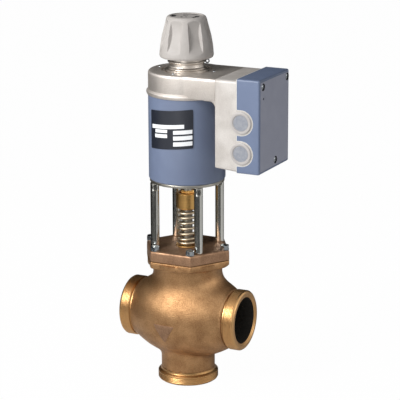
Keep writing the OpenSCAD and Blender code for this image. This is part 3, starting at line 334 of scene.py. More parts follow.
def surface_nets(field: Rule, low: Vec, high: Vec, step: float) -> Form:
    """Skins the space where a distance field is below zero.

    Args:
        field: Gives the distance at rows of points.
        low: Lowest corner of the space searched.
        high: Highest corner of the space searched.
        step: Size of the cells.

    Returns:
        A form of squarish faces.
    """
    axes = [np.arange(low[i], high[i] + step, step) for i in range(3)]
    grid = np.stack(np.meshgrid(*axes, indexing="ij"), -1)
    shape = grid.shape[:3]
    inside = (field(grid.reshape(-1, 3)) < 0).reshape(shape)
    cells = tuple(n - 1 for n in shape)
    total = np.zeros(cells, int)
    for dx, dy, dz in np.ndindex(2, 2, 2):
        total += inside[dx:dx + cells[0], dy:dy + cells[1], dz:dz + cells[2]]
    mixed = (total > 0) & (total < 8)
    number = np.full(cells, -1)
    number[mixed] = np.arange(mixed.sum())
    centre = grid[:-1, :-1, :-1][mixed] + step / 2
    points = centre.copy()
    reach, rounds, slack, least = 0.05, 5, 0.62 * step, 0.25
    for _ in range(rounds):
        value = field(points)
        slope = np.stack([(field(points + reach * e) - field(points - reach * e)) / (2 * reach)
                          for e in np.eye(3)], 1)
        points -= (value / np.maximum((slope ** 2).sum(1), least))[:, None] * slope
        points = centre + np.clip(points - centre, -slack, slack)
    faces: list[tuple[int, ...]] = []
    for axis in range(3):
        b, c = (axis + 1) % 3, (axis + 2) % 3
        first = [slice(None)] * 3
        last = [slice(None)] * 3
        first[axis], last[axis] = slice(None, -1), slice(1, None)
        for part in (first, last):
            part[b], part[c] = slice(1, -1), slice(1, -1)
        here, there = inside[tuple(first)], inside[tuple(last)]
        where = np.argwhere(here != there)
        flip = here[tuple(where.T)]
        where[:, b] += 1
        where[:, c] += 1
        quads = []
        for db, dc in ((0, 0), (1, 0), (1, 1), (0, 1)):
            cell = where.copy()
            cell[:, b] -= db
            cell[:, c] -= dc
            quads.append(number[tuple(cell.T)])
        quad = np.stack(quads, 1)
        quad[~flip] = quad[~flip][:, ::-1]
        faces += [tuple(q) for q in quad[(quad >= 0).all(1)].tolist()]
    return Form(points, faces)


def linked(name: str, data: ID) -> Object:
    """Puts a new object in the scene.

    Args:
        name: Its name.
        data: Its mesh, lamp or camera.

    Returns:
        The object.
    """
    made = bpy.data.objects.new(name, data)
    bpy.context.scene.collection.objects.link(made)
    return made


def applied(base: Object) -> Mesh:
    """A copy of an object's mesh with its modifiers applied."""
    return bpy.data.meshes.new_from_object(base.evaluated_get(bpy.context.evaluated_depsgraph_get()))


def discard(*objects: Object) -> None:
    """Removes objects with their meshes."""
    for item in objects:
        old = item.data
        bpy.data.objects.remove(item)
        bpy.data.meshes.remove(old)


def cut(form: Form, cutters: Iterable[Form], joined: Iterable[Form] = ()) -> Mesh:
    """Joins forms to a form, and takes cutters out of it.

    Args:
        form: The closed form to cut.
        cutters: Closed forms.
        joined: Closed forms that are joined to it first.

    Returns:
        The cut mesh, in metres.
    """
    base = linked("cut", form.mesh("cut"))
    tools = []
    for way, others in (("UNION", joined), ("DIFFERENCE", cutters)):
        for other in others:
            tool = linked("tool", other.mesh("tool"))
            step = base.modifiers.new("cut", "BOOLEAN")
            step.operation, step.solver, step.object = way, "EXACT", tool
            tools.append(tool)
    mesh = applied(base)
    discard(*tools, base)
    return mesh


# Finishes

class Tree:
    """Short ways to add nodes to a node tree."""

    def __init__(self, tree: NodeTree) -> None:
        """Keeps the tree."""
        self.tree = tree

    def add(self, kind: str, links: dict | None = None, **settings: object) -> Node:
        """Adds a node, sets it, and feeds its sockets from values or from other sockets.

        Args:
            kind: The node's type.
            links: Values or output sockets by input name or number.
            settings: The node's own settings.

        Returns:
            The node.
        """
        made = self.tree.nodes.new(kind)
        for key, value in settings.items():
            setattr(made, key, value)
        for key, value in (links or {}).items():
            if isinstance(value, NodeSocket):
                self.tree.links.new(value, made.inputs[key])
            else:
                made.inputs[key].default_value = value
        return made

    def math(self, operation: str, *values: object) -> NodeSocket:
        """The result of a math node fed with values or sockets."""
        return self.add("ShaderNodeMath", dict(enumerate(values)), operation=operation).outputs[0]


def new_group(name: str, inputs: dict[str, str], outputs: dict[str, str]) -> tuple[Tree, object]:
    """Starts a shader group.

    Args:
        name: The group's name.
        inputs: Type of each input by name.
        outputs: Type of each output by name.

    Returns:
        The group's tree and the sockets of its inputs.
    """
    tree = Tree(bpy.data.node_groups.new(name, "ShaderNodeTree"))
    for way, sockets in (("INPUT", inputs), ("OUTPUT", outputs)):
        for label, kind in sockets.items():
            tree.tree.interface.new_socket(label, in_out=way, socket_type="NodeSocket" + kind)
    return tree, tree.add("NodeGroupInput").outputs


class Effects:
    """The shader groups that the finishes share."""

    def __init__(self) -> None:
        """Builds each group once."""
        self.grain = self._grain()
        self.tint = self._tint()
        self.relief = self._relief()

    @staticmethod
    def _grain() -> NodeTree:
        """A noise of a given scale that may be drawn out along an axis.

        Returns:
            The group.
        """
        tree, given = new_group("grain", {"Vector": "Vector", "Scale": "Float", "Draw": "Vector",
                                          "Detail": "Float"}, {"Mask": "Float"})
        drawn = tree.add("ShaderNodeVectorMath", {0: given["Vector"], 1: given["Draw"]}, operation="MULTIPLY")
        noise = tree.add("ShaderNodeTexNoise", {"Vector": drawn.outputs[0], "Scale": given["Scale"],
                                                "Detail": given["Detail"]})
        low, high = 0.35, 0.65
        spread = tree.add("ShaderNodeMapRange", {0: noise.outputs["Fac"], 1: low, 2: high})
        tree.add("NodeGroupOutput", {"Mask": spread.outputs[0]})
        return tree.tree

    @staticmethod
    def _tint() -> NodeTree:
        """A colour between base and shade by two masks.

        Returns:
            The group.
        """
        tree, given = new_group("tint", {
            "Base": "Color", "Shade": "Color", "Patches": "Float", "Grain": "Float", "Patch Share": "Float",
            "Grain Share": "Float"}, {"Color": "Color"})
        first = tree.math("MULTIPLY", given["Patches"], given["Patch Share"])
        second = tree.add("ShaderNodeMath", {0: given["Grain"], 1: given["Grain Share"], 2: first},
                          operation="MULTIPLY_ADD", use_clamp=True)
        mix = tree.add("ShaderNodeMix", {0: second.outputs[0], 6: given["Base"], 7: given["Shade"]},
                       data_type="RGBA")
        tree.add("NodeGroupOutput", {"Color": mix.outputs[2]})
        return tree.tree

    @staticmethod
    def _relief() -> NodeTree:
        """A height from two masks, and a roughness between two values.

        Returns:
            The group.
        """
        tree, given = new_group("relief", {
            "Patches": "Float", "Grain": "Float", "Share": "Float", "Smooth": "Float", "Rough": "Float"},
            {"Height": "Float", "Roughness": "Float"})
        height = tree.math("MULTIPLY_ADD", given["Patches"], given["Share"], given["Grain"])
        rough = tree.add("ShaderNodeMapRange", {
            0: tree.math("ADD", given["Patches"], given["Grain"]), 1: 0.0, 2: 2.0, 3: given["Smooth"],
            4: given["Rough"]})
        tree.add("NodeGroupOutput", {"Height": height, "Roughness": rough.outputs[0]})
        return tree.tree


def srgb(r: float, g: float, b: float) -> tuple[float, float, float, float]:
    """A colour as the renderer wants it.

    Args:
        r: Red, from 0 to 255.
        g: Green, from 0 to 255.
        b: Blue, from 0 to 255.

    Returns:
        The linear colour with its alpha.
    """
    def one(v: float) -> float:
        """One channel made linear."""
        v /= 255
        return v / 12.92 if v <= 0.04045 else ((v + 0.055) / 1.055) ** 2.4
    return one(r), one(g), one(b), 1.0


ROUND_STEM: Vec = (0.04, 0.04, 1.0)
ROUND_PORT: Vec = (1.0, 0.04, 0.04)
EVEN: Vec = (1.0, 1.0, 1.0)


@dataclass(frozen=True)
class Finish:
    """A surface finish: two colours, patches, a grain that may be drawn out, and a relief.

    Attributes:
        name: Its material's name.
        base: Its main colour, in values of 0 to 255.
        shade: The colour of its patches and grain.
        metallic: How metallic it is.
        rough: Least and greatest roughness.
        patches: Scale of the patches, and their share in the colour.
        grain: Scale of the grain, and its share in the colour.
        draw: Scale of the grain along each axis.
        depth: Depth of the relief in millimetres.
        patch_depth: Share of the patches in the relief.
        coat: Weight of a clear coat.
        through: Share of the light that passes through.
    """

    name: str
    base: Vec
    shade: Vec
    metallic: float = 0.0
    rough: Span = (0.35, 0.5)
    patches: Span = (60.0, 0.5)
    grain: Span = (900.0, 0.3)
    draw: Vec = EVEN
    depth: float = 0.05
    patch_depth: float = 0.3
    coat: float = 0.0
    through: float = 0.0

    def material(self, effects: Effects) -> Material:
        """Builds the finish's material.

        Args:
            effects: The shared shader groups.

        Returns:
            The material.
        """
        made = bpy.data.materials.new(self.name)
        made.use_nodes = True
        made.node_tree.nodes.clear()
        tree = Tree(made.node_tree)
        place = tree.add("ShaderNodeTexCoord").outputs["Object"]
        coarse, fine = 2.0, 4.0
        masks: dict[str, NodeSocket] = {}
        for mask, scale, draw, detail in (("Patches", self.patches[0], EVEN, coarse),
                                          ("Grain", self.grain[0], self.draw, fine)):
            masks[mask] = tree.add("ShaderNodeGroup", {
                "Vector": place, "Scale": scale, "Draw": draw, "Detail": detail},
                node_tree=effects.grain).outputs[0]
        tint = tree.add("ShaderNodeGroup", {
            **masks, "Base": srgb(*self.base), "Shade": srgb(*self.shade), "Patch Share": self.patches[1],
            "Grain Share": self.grain[1]}, node_tree=effects.tint)
        relief = tree.add("ShaderNodeGroup", {
            **masks, "Share": self.patch_depth, "Smooth": self.rough[0], "Rough": self.rough[1]},
            node_tree=effects.relief)
        strength = 0.8
        bump = tree.add("ShaderNodeBump", {"Height": relief.outputs["Height"], "Distance": self.depth * MM,
                                           "Strength": strength})
        shader = tree.add("ShaderNodeBsdfPrincipled", {
            "Base Color": tint.outputs[0], "Roughness": relief.outputs["Roughness"],
            "Normal": bump.outputs[0], "Metallic": self.metallic, "Coat Weight": self.coat,
            "Transmission Weight": self.through})
        tree.add("ShaderNodeOutputMaterial", {"Surface": shader.outputs[0]})
        return made


class Look(Enum):
    """Every finish of the valve, by the surface that wears it."""

    CAST_BRONZE = Finish("sandblasted_bronze", (183, 143, 101), (138, 103, 70), 1.0, (0.37, 0.54),
                         (70, 0.55), (1100, 0.5), depth=0.11)
    TURNED_PORT = Finish("turned_bronze_ring", (198, 156, 106), (166, 124, 78), 1.0, (0.3, 0.42), (60, 0.2),
                         (1500, 0.2), draw=ROUND_PORT, depth=0.003)
    TURNED_LOW_PORT = Finish("turned_bronze_foot", (186, 146, 98), (152, 114, 72), 1.0, (0.3, 0.42),
                             (60, 0.25), (1500, 0.2), draw=ROUND_STEM, depth=0.003)
    # Painted shade: a near-black finish for the insides of the passages and port bores, whose walls are
    # bronze.
    PAINTED_BORE_SHADE = Finish("painted_bore_shade", (46, 42, 36), (30, 27, 23), 0.3, (0.6, 0.8), (90, 0.5), (900, 0.4),
                       depth=0.1)
    # The cast mark also wears this darker bronze, as painted shade.
    DARK_BRONZE = Finish("dull_bronze_bonnet", (168, 133, 105), (128, 100, 78), 1.0, (0.42, 0.6), (90, 0.5),
                         (1000, 0.5), depth=0.1)
    BRASS = Finish("turned_brass", (222, 176, 108), (184, 138, 78), 1.0, (0.26, 0.4), (60, 0.25),
                   (1600, 0.35), draw=ROUND_STEM, depth=0.004)
    STAINLESS = Finish("turned_stainless", (190, 190, 188), (140, 140, 140), 1.0, (0.18, 0.34), (60, 0.3),
                       (1600, 0.5), draw=ROUND_STEM, depth=0.02)
    SPRING_WIRE = Finish("drawn_spring_wire", (204, 190, 166), (150, 134, 112), 1.0, (0.34, 0.5), (200, 0.4),
                         (1500, 0.3), depth=0.02)
    ZINC = Finish("bright_zinc", (188, 193, 196), (112, 118, 122), 1.0, (0.1, 0.22), (150, 0.5),
                  (1500, 0.35), depth=0.02)
    PILLAR_ZINC = Finish("ground_zinc_rod", (220, 219, 212), (196, 197, 192), 1.0, (0.1, 0.17), (80, 0.25),
                         (1400, 0.08), depth=0.001)
    SOFT_IRON = Finish("machined_iron", (190, 186, 176), (140, 136, 128), 1.0, (0.28, 0.42), (80, 0.3),
                       (1400, 0.4), draw=ROUND_STEM, depth=0.02)
    SOFT_SEAL = Finish("filled_seal", (228, 222, 206), (198, 190, 172), 0.0, (0.45, 0.6), (150, 0.4))
    DARK_FIBRE = Finish("gasket_sheet", (46, 46, 46), (26, 26, 26), 0.0, (0.6, 0.8), (300, 0.5))
    BOBBIN = Finish("filled_black_plastic", (44, 44, 47), (26, 26, 28), 0.0, (0.4, 0.55), (200, 0.4))
    COPPER = Finish("enamelled_copper", (196, 112, 70), (126, 62, 36), 1.0, (0.22, 0.36), (120, 0.3),
                    (2600, 0.7), draw=(0.02, 0.02, 1.0), depth=0.12)
    BLUE_PAINT = Finish("satin_blue_paint", (108, 120, 145), (100, 111, 136), 0.0, (0.34, 0.44), (45, 0.5),
                        (1800, 0.25), depth=0.025, coat=0.15)
    LABEL = Finish("black_label_film", (34, 38, 48), (26, 29, 38), 0.0, (0.3, 0.42), (60, 0.5), (1500, 0.3),
                   depth=0.01)
    LABEL_FIELD = Finish("white_label_field", (238, 240, 242), (226, 228, 230), 0.0, (0.35, 0.45), (60, 0.5),
                         (1500, 0.3), depth=0.01)
    CAST_ALUMINIUM = Finish("blasted_die_casting", (216, 209, 202), (190, 182, 174), 0.85, (0.4, 0.54),
                            (55, 0.5), (1300, 0.4), depth=0.06)
    TURNED_NECK = Finish("turned_neck", (214, 206, 197), (170, 161, 151), 1.0, (0.28, 0.42), (60, 0.3),
                         (1500, 0.35), draw=ROUND_STEM, depth=0.01)
    LIGHT_CASTING = Finish("light_die_casting", (208, 203, 198), (182, 176, 170), 0.2, (0.46, 0.6),
                           (50, 0.75), (1200, 0.35), depth=0.07)
    GREY_PLASTIC = Finish("satin_grey_plastic", (178, 173, 169), (166, 161, 156), 0.0, (0.5, 0.62),
                          (60, 0.5), (2200, 0.3), depth=0.02, patch_depth=0.25)
    BLUE_PLASTIC = Finish("satin_blue_plastic", (108, 121, 148), (100, 113, 140), 0.0, (0.34, 0.44),
                          (60, 0.5), (2200, 0.3), depth=0.03)
    # Paler and greyer than the blue plastic: painted reflection on the cover's outer face, over a fine grain.
    COVER_FACE = Finish("cover_face_painted_reflection", (160, 163, 178), (152, 155, 171), 0.0, (0.42, 0.52), (60, 0.5),
                        (2600, 0.4), depth=0.04)
    BOARD = Finish("coated_board", (52, 104, 66), (36, 80, 50), 0.0, (0.25, 0.4), (120, 0.5))
    TERMINAL = Finish("moulded_terminal", (226, 222, 210), (206, 200, 186), 0.0, (0.4, 0.52), (200, 0.4))
    LEAD = Finish("lead_insulation", (176, 62, 46), (140, 44, 34), 0.0, (0.4, 0.55), (200, 0.4))
    LIGHT_SEAL = Finish("foamed_seal", (236, 236, 232), (214, 214, 208), 0.0, (0.6, 0.75), (400, 0.5))
    CLEAR_PLUG = Finish("translucent_plug", (184, 179, 176), (170, 166, 163), 0.0, (0.36, 0.46), (120, 0.4),
                        (2000, 0.3), depth=0.02, through=0.05)
    MEMBRANE = Finish("thin_plug_membrane", (158, 160, 166), (136, 140, 150), 0.0, (0.3, 0.42), (300, 0.7),
                      (900, 0.4), depth=0.06, coat=0.1, through=0.05)
    DARK_LENS = Finish("smoked_lens", (38, 44, 60), (26, 30, 44), 0.0, (0.12, 0.2), (200, 0.4), (2000, 0.3),
                       depth=0.01, coat=0.3)
    # Near black; the top disc's slots wear it as painted shade.
    DARK_RECESS = Finish("dark_recess", (40, 42, 46), (28, 29, 32), 0.0, (0.5, 0.65), (200, 0.4))


class Workshop:
    """Makes pieces of the scene and dresses them."""

    def __init__(self) -> None:
        """Builds the shared groups; materials are made when first used."""
        self.effects = Effects()
        self.made: dict[Look, Material] = {}

    def material(self, look: Look) -> Material:
        """The material of a finish, made once."""
        if look not in self.made:
            self.made[look] = look.value.material(self.effects)
        return self.made[look]

    def piece(self, name: str, shape: Form | Mesh, look: Look, slot: str,
              body: Body = Body.HOUSING, replaces: Sequence[str] = (), sharp: float = 32.0,
              inner: tuple[Look, Rule] | None = None) -> Object:
        """Makes a piece, dresses it, and lets it ride on its body.

        Args:
            name: The piece's name.
            shape: Its form in millimetres, or a finished mesh in metres.
            look: Its finish.
            slot: The record's material slot; not used.
            body: The body that it rides on.
            replaces: CAD nodes that it stands for.
            sharp: Angle in degrees over which an edge is drawn sharp.
            inner: A second finish, and a test on rows of face centres in millimetres that picks its faces.

        Returns:
            The piece.
        """
        mesh = shape.mesh(name) if isinstance(shape, Form) else shape
        mesh.name = name
        mesh.materials.clear()
        mesh.materials.append(self.material(look))
        if inner:
            mesh.materials.append(self.material(inner[0]))
            centres = np.zeros(3 * len(mesh.polygons))
            mesh.polygons.foreach_get("center", centres)
            picked = inner[1](centres.reshape(-1, 3) / MM)
            mesh.polygons.foreach_set("material_index", picked.astype(np.int32))
        mesh.shade_smooth()
        mesh.set_sharp_from_angle(angle=radians(sharp))
        made = linked(name, mesh)
        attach(made, body.value)
        if replaces:
            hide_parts(*replaces)
        LOG.info("%s on %s, %d faces", name, body.value, len(mesh.polygons))
        return made

    def dress(self, look: Look, *nodes: str) -> None:
        """Gives CAD nodes that stay their material.

        Args:
            look: The finish.
            nodes: Names of CAD nodes.
        """
        for node in nodes:
            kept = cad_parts[node]
            kept.data.materials.clear()
            kept.data.materials.append(self.material(look))
            LOG.info("%s keeps its CAD shape", node)


# Repeats made with Geometry Nodes

class NodeShape:
    """A Geometry Nodes tree with named inputs, run once and kept as a plain mesh."""

    def __init__(self, name: str, inputs: Sequence[tuple[str, str]]) -> None:
        """Starts the tree, whose last input is the material.

        Args:
            name: The tree's name.
            inputs: Name and type of each other input.
        """
        self.group = bpy.data.node_groups.new(name, "GeometryNodeTree")
        self.tree = Tree(self.group)
        for label, kind in [("Geometry", "Geometry"), *inputs, ("Material", "Material")]:
            self.group.interface.new_socket(label, in_out="INPUT", socket_type="NodeSocket" + kind)
        self.group.interface.new_socket("Geometry", in_out="OUTPUT", socket_type="NodeSocketGeometry")
        self.given = self.tree.add("NodeGroupInput").outputs

    def close(self, shape: NodeSocket) -> None:
        """Ends the tree in Realize Instances and Set Material.

        Args:
            shape: The socket with the finished shape.
        """
        real = self.tree.add("GeometryNodeRealizeInstances", {0: shape})
        dressed = self.tree.add("GeometryNodeSetMaterial", {"Geometry": real.outputs[0],
                                                            "Material": self.given["Material"]})
        self.tree.add("NodeGroupOutput", {0: dressed.outputs[0]})

    def run(self, start: Mesh, values: dict[str, object], name: str) -> Mesh:
        """Runs the tree on a start mesh, which it uses up.

        Args:
            start: The mesh that the tree works on.
            values: The inputs' values by name.
            name: Name of the object that it runs on.

        Returns:
            The plain mesh.
        """
        base = linked(name, start)
        step = base.modifiers.new("shape", "NODES")
        step.node_group = self.group
        for item in self.group.interface.items_tree:
            if item.in_out == "INPUT" and item.name in values:
                step[item.identifier] = values[item.name]
        mesh = applied(base)
        base.modifiers.remove(step)
        discard(base)
        return mesh


class Repeats:
    """Trees that set one fastener at each point of a start form, and that sweep a wire along a helix."""

    def __init__(self, shop: Workshop) -> None:
        """Builds both trees."""
        self.shop = shop
        self.copies = self._copies()
        self.coil = self._coil()

    @staticmethod
    def _copies() -> NodeShape:
        """Puts an object's mesh at each point, turned by the given angles.

        Returns:
            The tree.
        """
        made = NodeShape("set_fasteners", [("Fastener", "Object"), ("Turn", "Vector")])
        shape = made.tree.add("GeometryNodeObjectInfo", {"Object": made.given["Fastener"]})
        placed = made.tree.add("GeometryNodeInstanceOnPoints", {
            "Points": made.given["Geometry"], "Instance": shape.outputs["Geometry"],
            "Rotation": made.given["Turn"]})
        made.close(placed.outputs[0])
        return made

    @staticmethod
    def _coil() -> NodeShape:
        """Sweeps a round wire along the edges of the start mesh.

        Returns:
            The tree.
        """
        made = NodeShape("wind_spring", [("Wire Radius", "Float"), ("Sides", "Int")])
        path = made.tree.add("GeometryNodeMeshToCurve", {"Mesh": made.given["Geometry"]})
        section = made.tree.add("GeometryNodeCurvePrimitiveCircle", {
            "Resolution": made.given["Sides"], "Radius": made.given["Wire Radius"]})
        swept = made.tree.add("GeometryNodeCurveToMesh", {
            "Curve": path.outputs[0], "Profile Curve": section.outputs[0], "Fill Caps": True})
        made.close(swept.outputs[0])
        return made

    def set_at(self, fastener: Form, places: Sequence[Vec], look: Look, name: str,
               turn: Vec = (0, 0, 0)) -> Mesh:
        """One mesh with a fastener at each place.

        Args:
            fastener: The fastener about its own origin, in millimetres.
            places: Places in millimetres.
            look: The finish.
            name: Name of the mesh.
            turn: Turn about each axis, in radians.

        Returns:
            The mesh.
        """
        start = bpy.data.meshes.new(name)
        start.from_pydata((np.array(places, float) * MM).tolist(), [], [])
        tool = linked("fastener", fastener.mesh("fastener"))
        values = {"Fastener": tool, "Turn": turn, "Material": self.shop.material(look)}
        mesh = self.copies.run(start, values, name)
        discard(tool)
        return mesh

    def wind(self, path: Array, radius: float, look: Look, name: str) -> Mesh:
        """One mesh of a wire along a path.

        Args:
            path: Points of the centre line in millimetres.
            radius: Radius of the wire.
            look: The finish.
            name: Name of the mesh.

        Returns:
            The mesh.
        """
        start = bpy.data.meshes.new(name)
        start.from_pydata((path * MM).tolist(), [(i, i + 1) for i in range(len(path) - 1)], [])
        values = {"Wire Radius": radius * MM, "Sides": 16, "Material": self.shop.material(look)}
        return self.coil.run(start, values, name)


# The valve's sub-assemblies

@dataclass
class CastBody:
    """The bronze globe body with its three threaded ports and the bonnet on its flange."""

    shop: Workshop
    repeats: Repeats
    axis_z: float = 67.5
    face_x: float = 62.5
    thread_r: float = 29.8
    bore_r: float = 22.7
    collar_x: float = 51.0
    body_x: float = 49.3
    groove_r: float = 27.8
    lip_r: float = 29.0
    bulge_r: float = 44.0
    bulge_end_r: float = 28.2
    neck_r: float = 34.0
    neck_bore_r: float = 28.3
    low_neck_r: float = 26.5
    low_neck_z: float = 12.3
    gasket_z: float = 125.3
    gasket_r: float = 32.25
    shoulder_r: float = 39.5
    shoulder_up: float = 55.0
    shoulder_half_h: float = 2.6
    low_bore_top: float = -18.0
    seat_r: float = 20.0
    seat_half_h: float = 19.0
    chamber_r: float = 27.0
    chamber_half_h: float = 13.0
    throat_half_w: float = 17.8
    throat_x: float = 34.0
    outlet_x: float = 32.3
    roof_up: float = 18.0
    divider_r: float = 31.0
    cone_x: Span = (18.44, 46.1)
    cone_r: Span = (37.2, 25.6)
    mark_at: Span = (-5.2, -9.5)
    mark_half_w: float = 11.6
    mark_reach: Span = (-7.6, 11.8)
    flange_z: Span = (119.6, 126.5)
    bonnet_z: Span = (126.8, 137.4)
    side_corner_r: float = 43.5
    end_corner_r: float = 45.4
    flange_bevel: float = 3.6
    bonnet_bevel: float = 2.6
    guide_r: float = 7.5
    gland_r: float = 9.0
    gland_z: float = 117.8
    pocket_r: float = 11.6
    pocket_z: float = 134.9
    hub_r: float = 13.0
    hub_z: Span = (105.8, 113.8)
    spigot_r: float = 28.25
    bolt_r: Span = (38.0, 40.2)
    bolt_seat_h: float = 0.6
    shank_r: float = 2.5
    shank_l: float = 15.5
    head_w: float = 8.0
    head_h: float = 4.6
    thread_pitch: float = 1.45
    thread_depth: float = 0.32

    @property
    def drop(self) -> float:
        """How far past the ports' axis the bulge's outline has its centre."""
        return (self.body_x ** 2 + self.bulge_end_r ** 2 - self.bulge_r ** 2) / (
            2 * (self.bulge_r - self.bulge_end_r))

    def bulge(self, x: Array | float) -> Array | float:
        """Radius of the bulge at a distance from the stem."""
        return np.sqrt((self.bulge_r + self.drop) ** 2 - x ** 2) - self.drop

    def casting_distance(self, p: Array) -> Array:
        """Distance to the casting's skin, less than zero in the metal.

        Args:
            p: Rows of points, with Z from the ports' axis.

        Returns:
            One distance for each point.
        """
        x, y, z = p.T
        rho, r = np.hypot(y, z), np.hypot(x, y)
        edge, half_lip, lip_edge, lip_blend, neck_blend = 1.0, 1.1, 0.6, 1.6, 8.0
        shoulder_blend, foot_blend, mouth_edge = 3.0, 4.5, 0.8
        metal = np.hypot(x, rho + self.drop) - (self.bulge_r + self.drop)
        metal = smooth_max(metal, np.abs(x) - self.body_x, edge)
        lip = np.abs(np.abs(x) - self.body_x + half_lip) - half_lip
        metal = smooth_min(metal, smooth_max(rho - self.lip_r, lip, lip_edge), lip_blend)
        top = self.gasket_z - self.axis_z
        metal = smooth_min(metal, np.maximum(np.maximum(r - self.neck_r, z - top), -z), neck_blend)
        shoulder = np.maximum(r - self.shoulder_r, np.abs(z - self.shoulder_up) - self.shoulder_half_h)
        metal = smooth_min(metal, shoulder, shoulder_blend)
        foot = self.low_neck_z - self.axis_z
        metal = smooth_min(metal, np.maximum(np.maximum(r - self.low_neck_r, foot - z), z), foot_blend)
        return smooth_max(metal, -self.passage_distance(p), mouth_edge)

    def passage_distance(self, p: Array) -> Array:
        """Distance to the passages' walls, less than zero in the flow.

        Args:
            p: Rows of points, with Z from the ports' axis.

        Returns:
            One distance for each point.
        """
        x, y, z = p.T
        rho, r = np.hypot(y, z), np.hypot(x, y)
        space = np.maximum(r - self.bore_r, z - self.low_bore_top)
        space = np.minimum(space, np.maximum(r - self.seat_r, np.abs(z) - self.seat_half_h))
        space = np.minimum(space, np.maximum(r - self.chamber_r, np.abs(z) - self.chamber_half_h))
        throat = np.maximum(np.maximum(np.abs(y) - self.throat_half_w, np.abs(z) - self.chamber_half_h),
                            np.maximum(-x, x - self.throat_x))
        space = np.minimum(space, throat)
        space = np.minimum(space, np.maximum(rho - self.bore_r, self.outlet_x - x))
        space = np.minimum(space, np.maximum(r - self.neck_bore_r, self.roof_up - z))
        cone = rho - np.interp(-x, self.cone_x, self.cone_r)
        near, far = self.cone_x
        inlet = np.minimum(rho - self.bore_r, np.maximum(cone, np.maximum(-far - x, x + near)))
        inlet = np.maximum(np.maximum(inlet, x), -np.maximum(r - self.divider_r, z - self.roof_up))
        return np.minimum(space, inlet)

    def collar(self) -> Form:
        """A side port's threaded collar with the groove behind it.

        Returns:
            The collar, along Z.
        """
        r, bore, face, start = self.thread_r, self.bore_r, self.face_x, self.collar_x
        crest = threaded(r, start + 1.0, face - 2.2, self.thread_pitch, self.thread_depth)
        return lathe([(bore, self.body_x, 0), (self.groove_r, self.body_x, 0), (self.groove_r, start, 0.4),
                      (r - 0.9, start, 0), *crest, (r - 0.8, face - 0.9, 0.6), (r - 2.1, face, 0.3),
                      (bore + 2.3, face, 0.3), (bore + 1.6, face - 0.6, 0.3), (bore + 0.8, face - 0.6, 0.3),
                      (bore, face - 1.4, 0.2)], ring=True, sides=128)

    def foot(self) -> Form:
        """The lower port's threaded collar and the slope over it.

        Returns:
            The collar.
        """
        r, bore, neck = self.thread_r, self.bore_r, self.low_neck_r
        crest = threaded(r, 2.2, 7.6, self.thread_pitch, self.thread_depth)
        return lathe([(bore, 0, 0.4), (r - 2.1, 0, 0.4), (r - 0.7, 1.0, 0.5), *crest, (r, 8.4, 0.5),
                      (r - 1.0, 9.2, 0.8), (neck + 0.5, 10.4, 1.2), (neck, self.low_neck_z, 0),
                      (bore, self.low_neck_z, 0)], ring=True, sides=128)

    def hexagon(self, inset: float, cone: float, blend: float = 0.8) -> Rule:
        """Radius round the stem of the hexagonal outline.

        Args:
            inset: How far its sides lie in.
            cone: Radius of the bevel's cone at this level.
            blend: Rounding between sides, and between sides and cone.

        Returns:
            A function of the angle.
        """
        radii = [self.end_corner_r, self.side_corner_r, self.side_corner_r] * 2
        corners = [np.array(place[:2]) for place in round_places(radii, 0, 0)]

        def radius(t: Array) -> Array:
            """Radius at each angle.

            Args:
                t: The angles.

            Returns:
                The radii.
            """
            out = np.full(len(t), cone, float)
            for p, q in zip(corners, corners[1:] + corners[:1]):
                normal = np.array((q[1] - p[1], p[0] - q[0])) / np.linalg.norm(q - p)
                facing = normal[0] * np.cos(t) + normal[1] * np.sin(t)
                side = (normal @ p - inset) / np.maximum(facing, 0.3)
                out = np.where(facing > 0.3, smooth_min(out, side, blend), out)
            return out
        return radius

    def flange(self) -> Form:
        """The body's hexagonal flange, bevelled under its corners.

        Returns:
            The flange, round its bore.
        """
        (low, high), side = self.flange_z, self.hexagon
        cone = self.end_corner_r - self.flange_bevel
        rows = [(even(self.gasket_r), high), (side(1.5, cone + 5.6), high), (side(0.7, cone + 6.3), high),
                (side(0.2, cone + 6.4), high - 0.25), (side(0, cone + 6.2), high - 0.7),
                (side(0, cone + 3.0), low + 2.6), (side(0, cone + 1.3), low + 1.2),
                (side(0.3, cone + 0.5), low + 0.4), (side(0.9, cone - 0.4), low),
                (side(2.2, cone - 1.8), low), (even(self.gasket_r), low)]
        return polar(rows, 240, ring=True)

    def bonnet(self) -> Form:
        """The bonnet: its hexagonal plate, its spigot in the neck, and its hub round the stem.

        Returns:
            The bonnet, round its bore.
        """
        (low, high), (foot, step), side = self.bonnet_z, self.hub_z, self.hexagon
        cone = self.end_corner_r - self.bonnet_bevel
        rows = [(even(self.guide_r), foot), (even(self.hub_r - 0.6), foot), (even(self.hub_r), foot + 0.6),
                (even(self.hub_r), step), (even(self.spigot_r - 0.65), step),
                (even(self.spigot_r), step + 0.7), (even(self.spigot_r), low), (side(1.6, cone + 9.0), low),
                (side(0.5, cone + 10.1), low), (side(0, cone + 10.0), low + 0.5),
                (side(0, cone + 7.5), low + 3.0), (side(0.1, cone + 2.4), high - 2.2),
                (side(0.3, cone + 1.2), high - 1.0), (side(0.8, cone + 0.4), high - 0.35),
                (side(1.6, cone - 0.5), high), (side(3.2, cone - 2.2), high),
                (even(self.pocket_r + 0.7), high), (even(self.pocket_r), high - 0.6),
                (even(self.pocket_r), self.pocket_z), (even(self.gland_r), self.pocket_z),
                (even(self.gland_r), self.gland_z), (even(self.guide_r), self.gland_z)]
        return polar(rows, 240, ring=True)

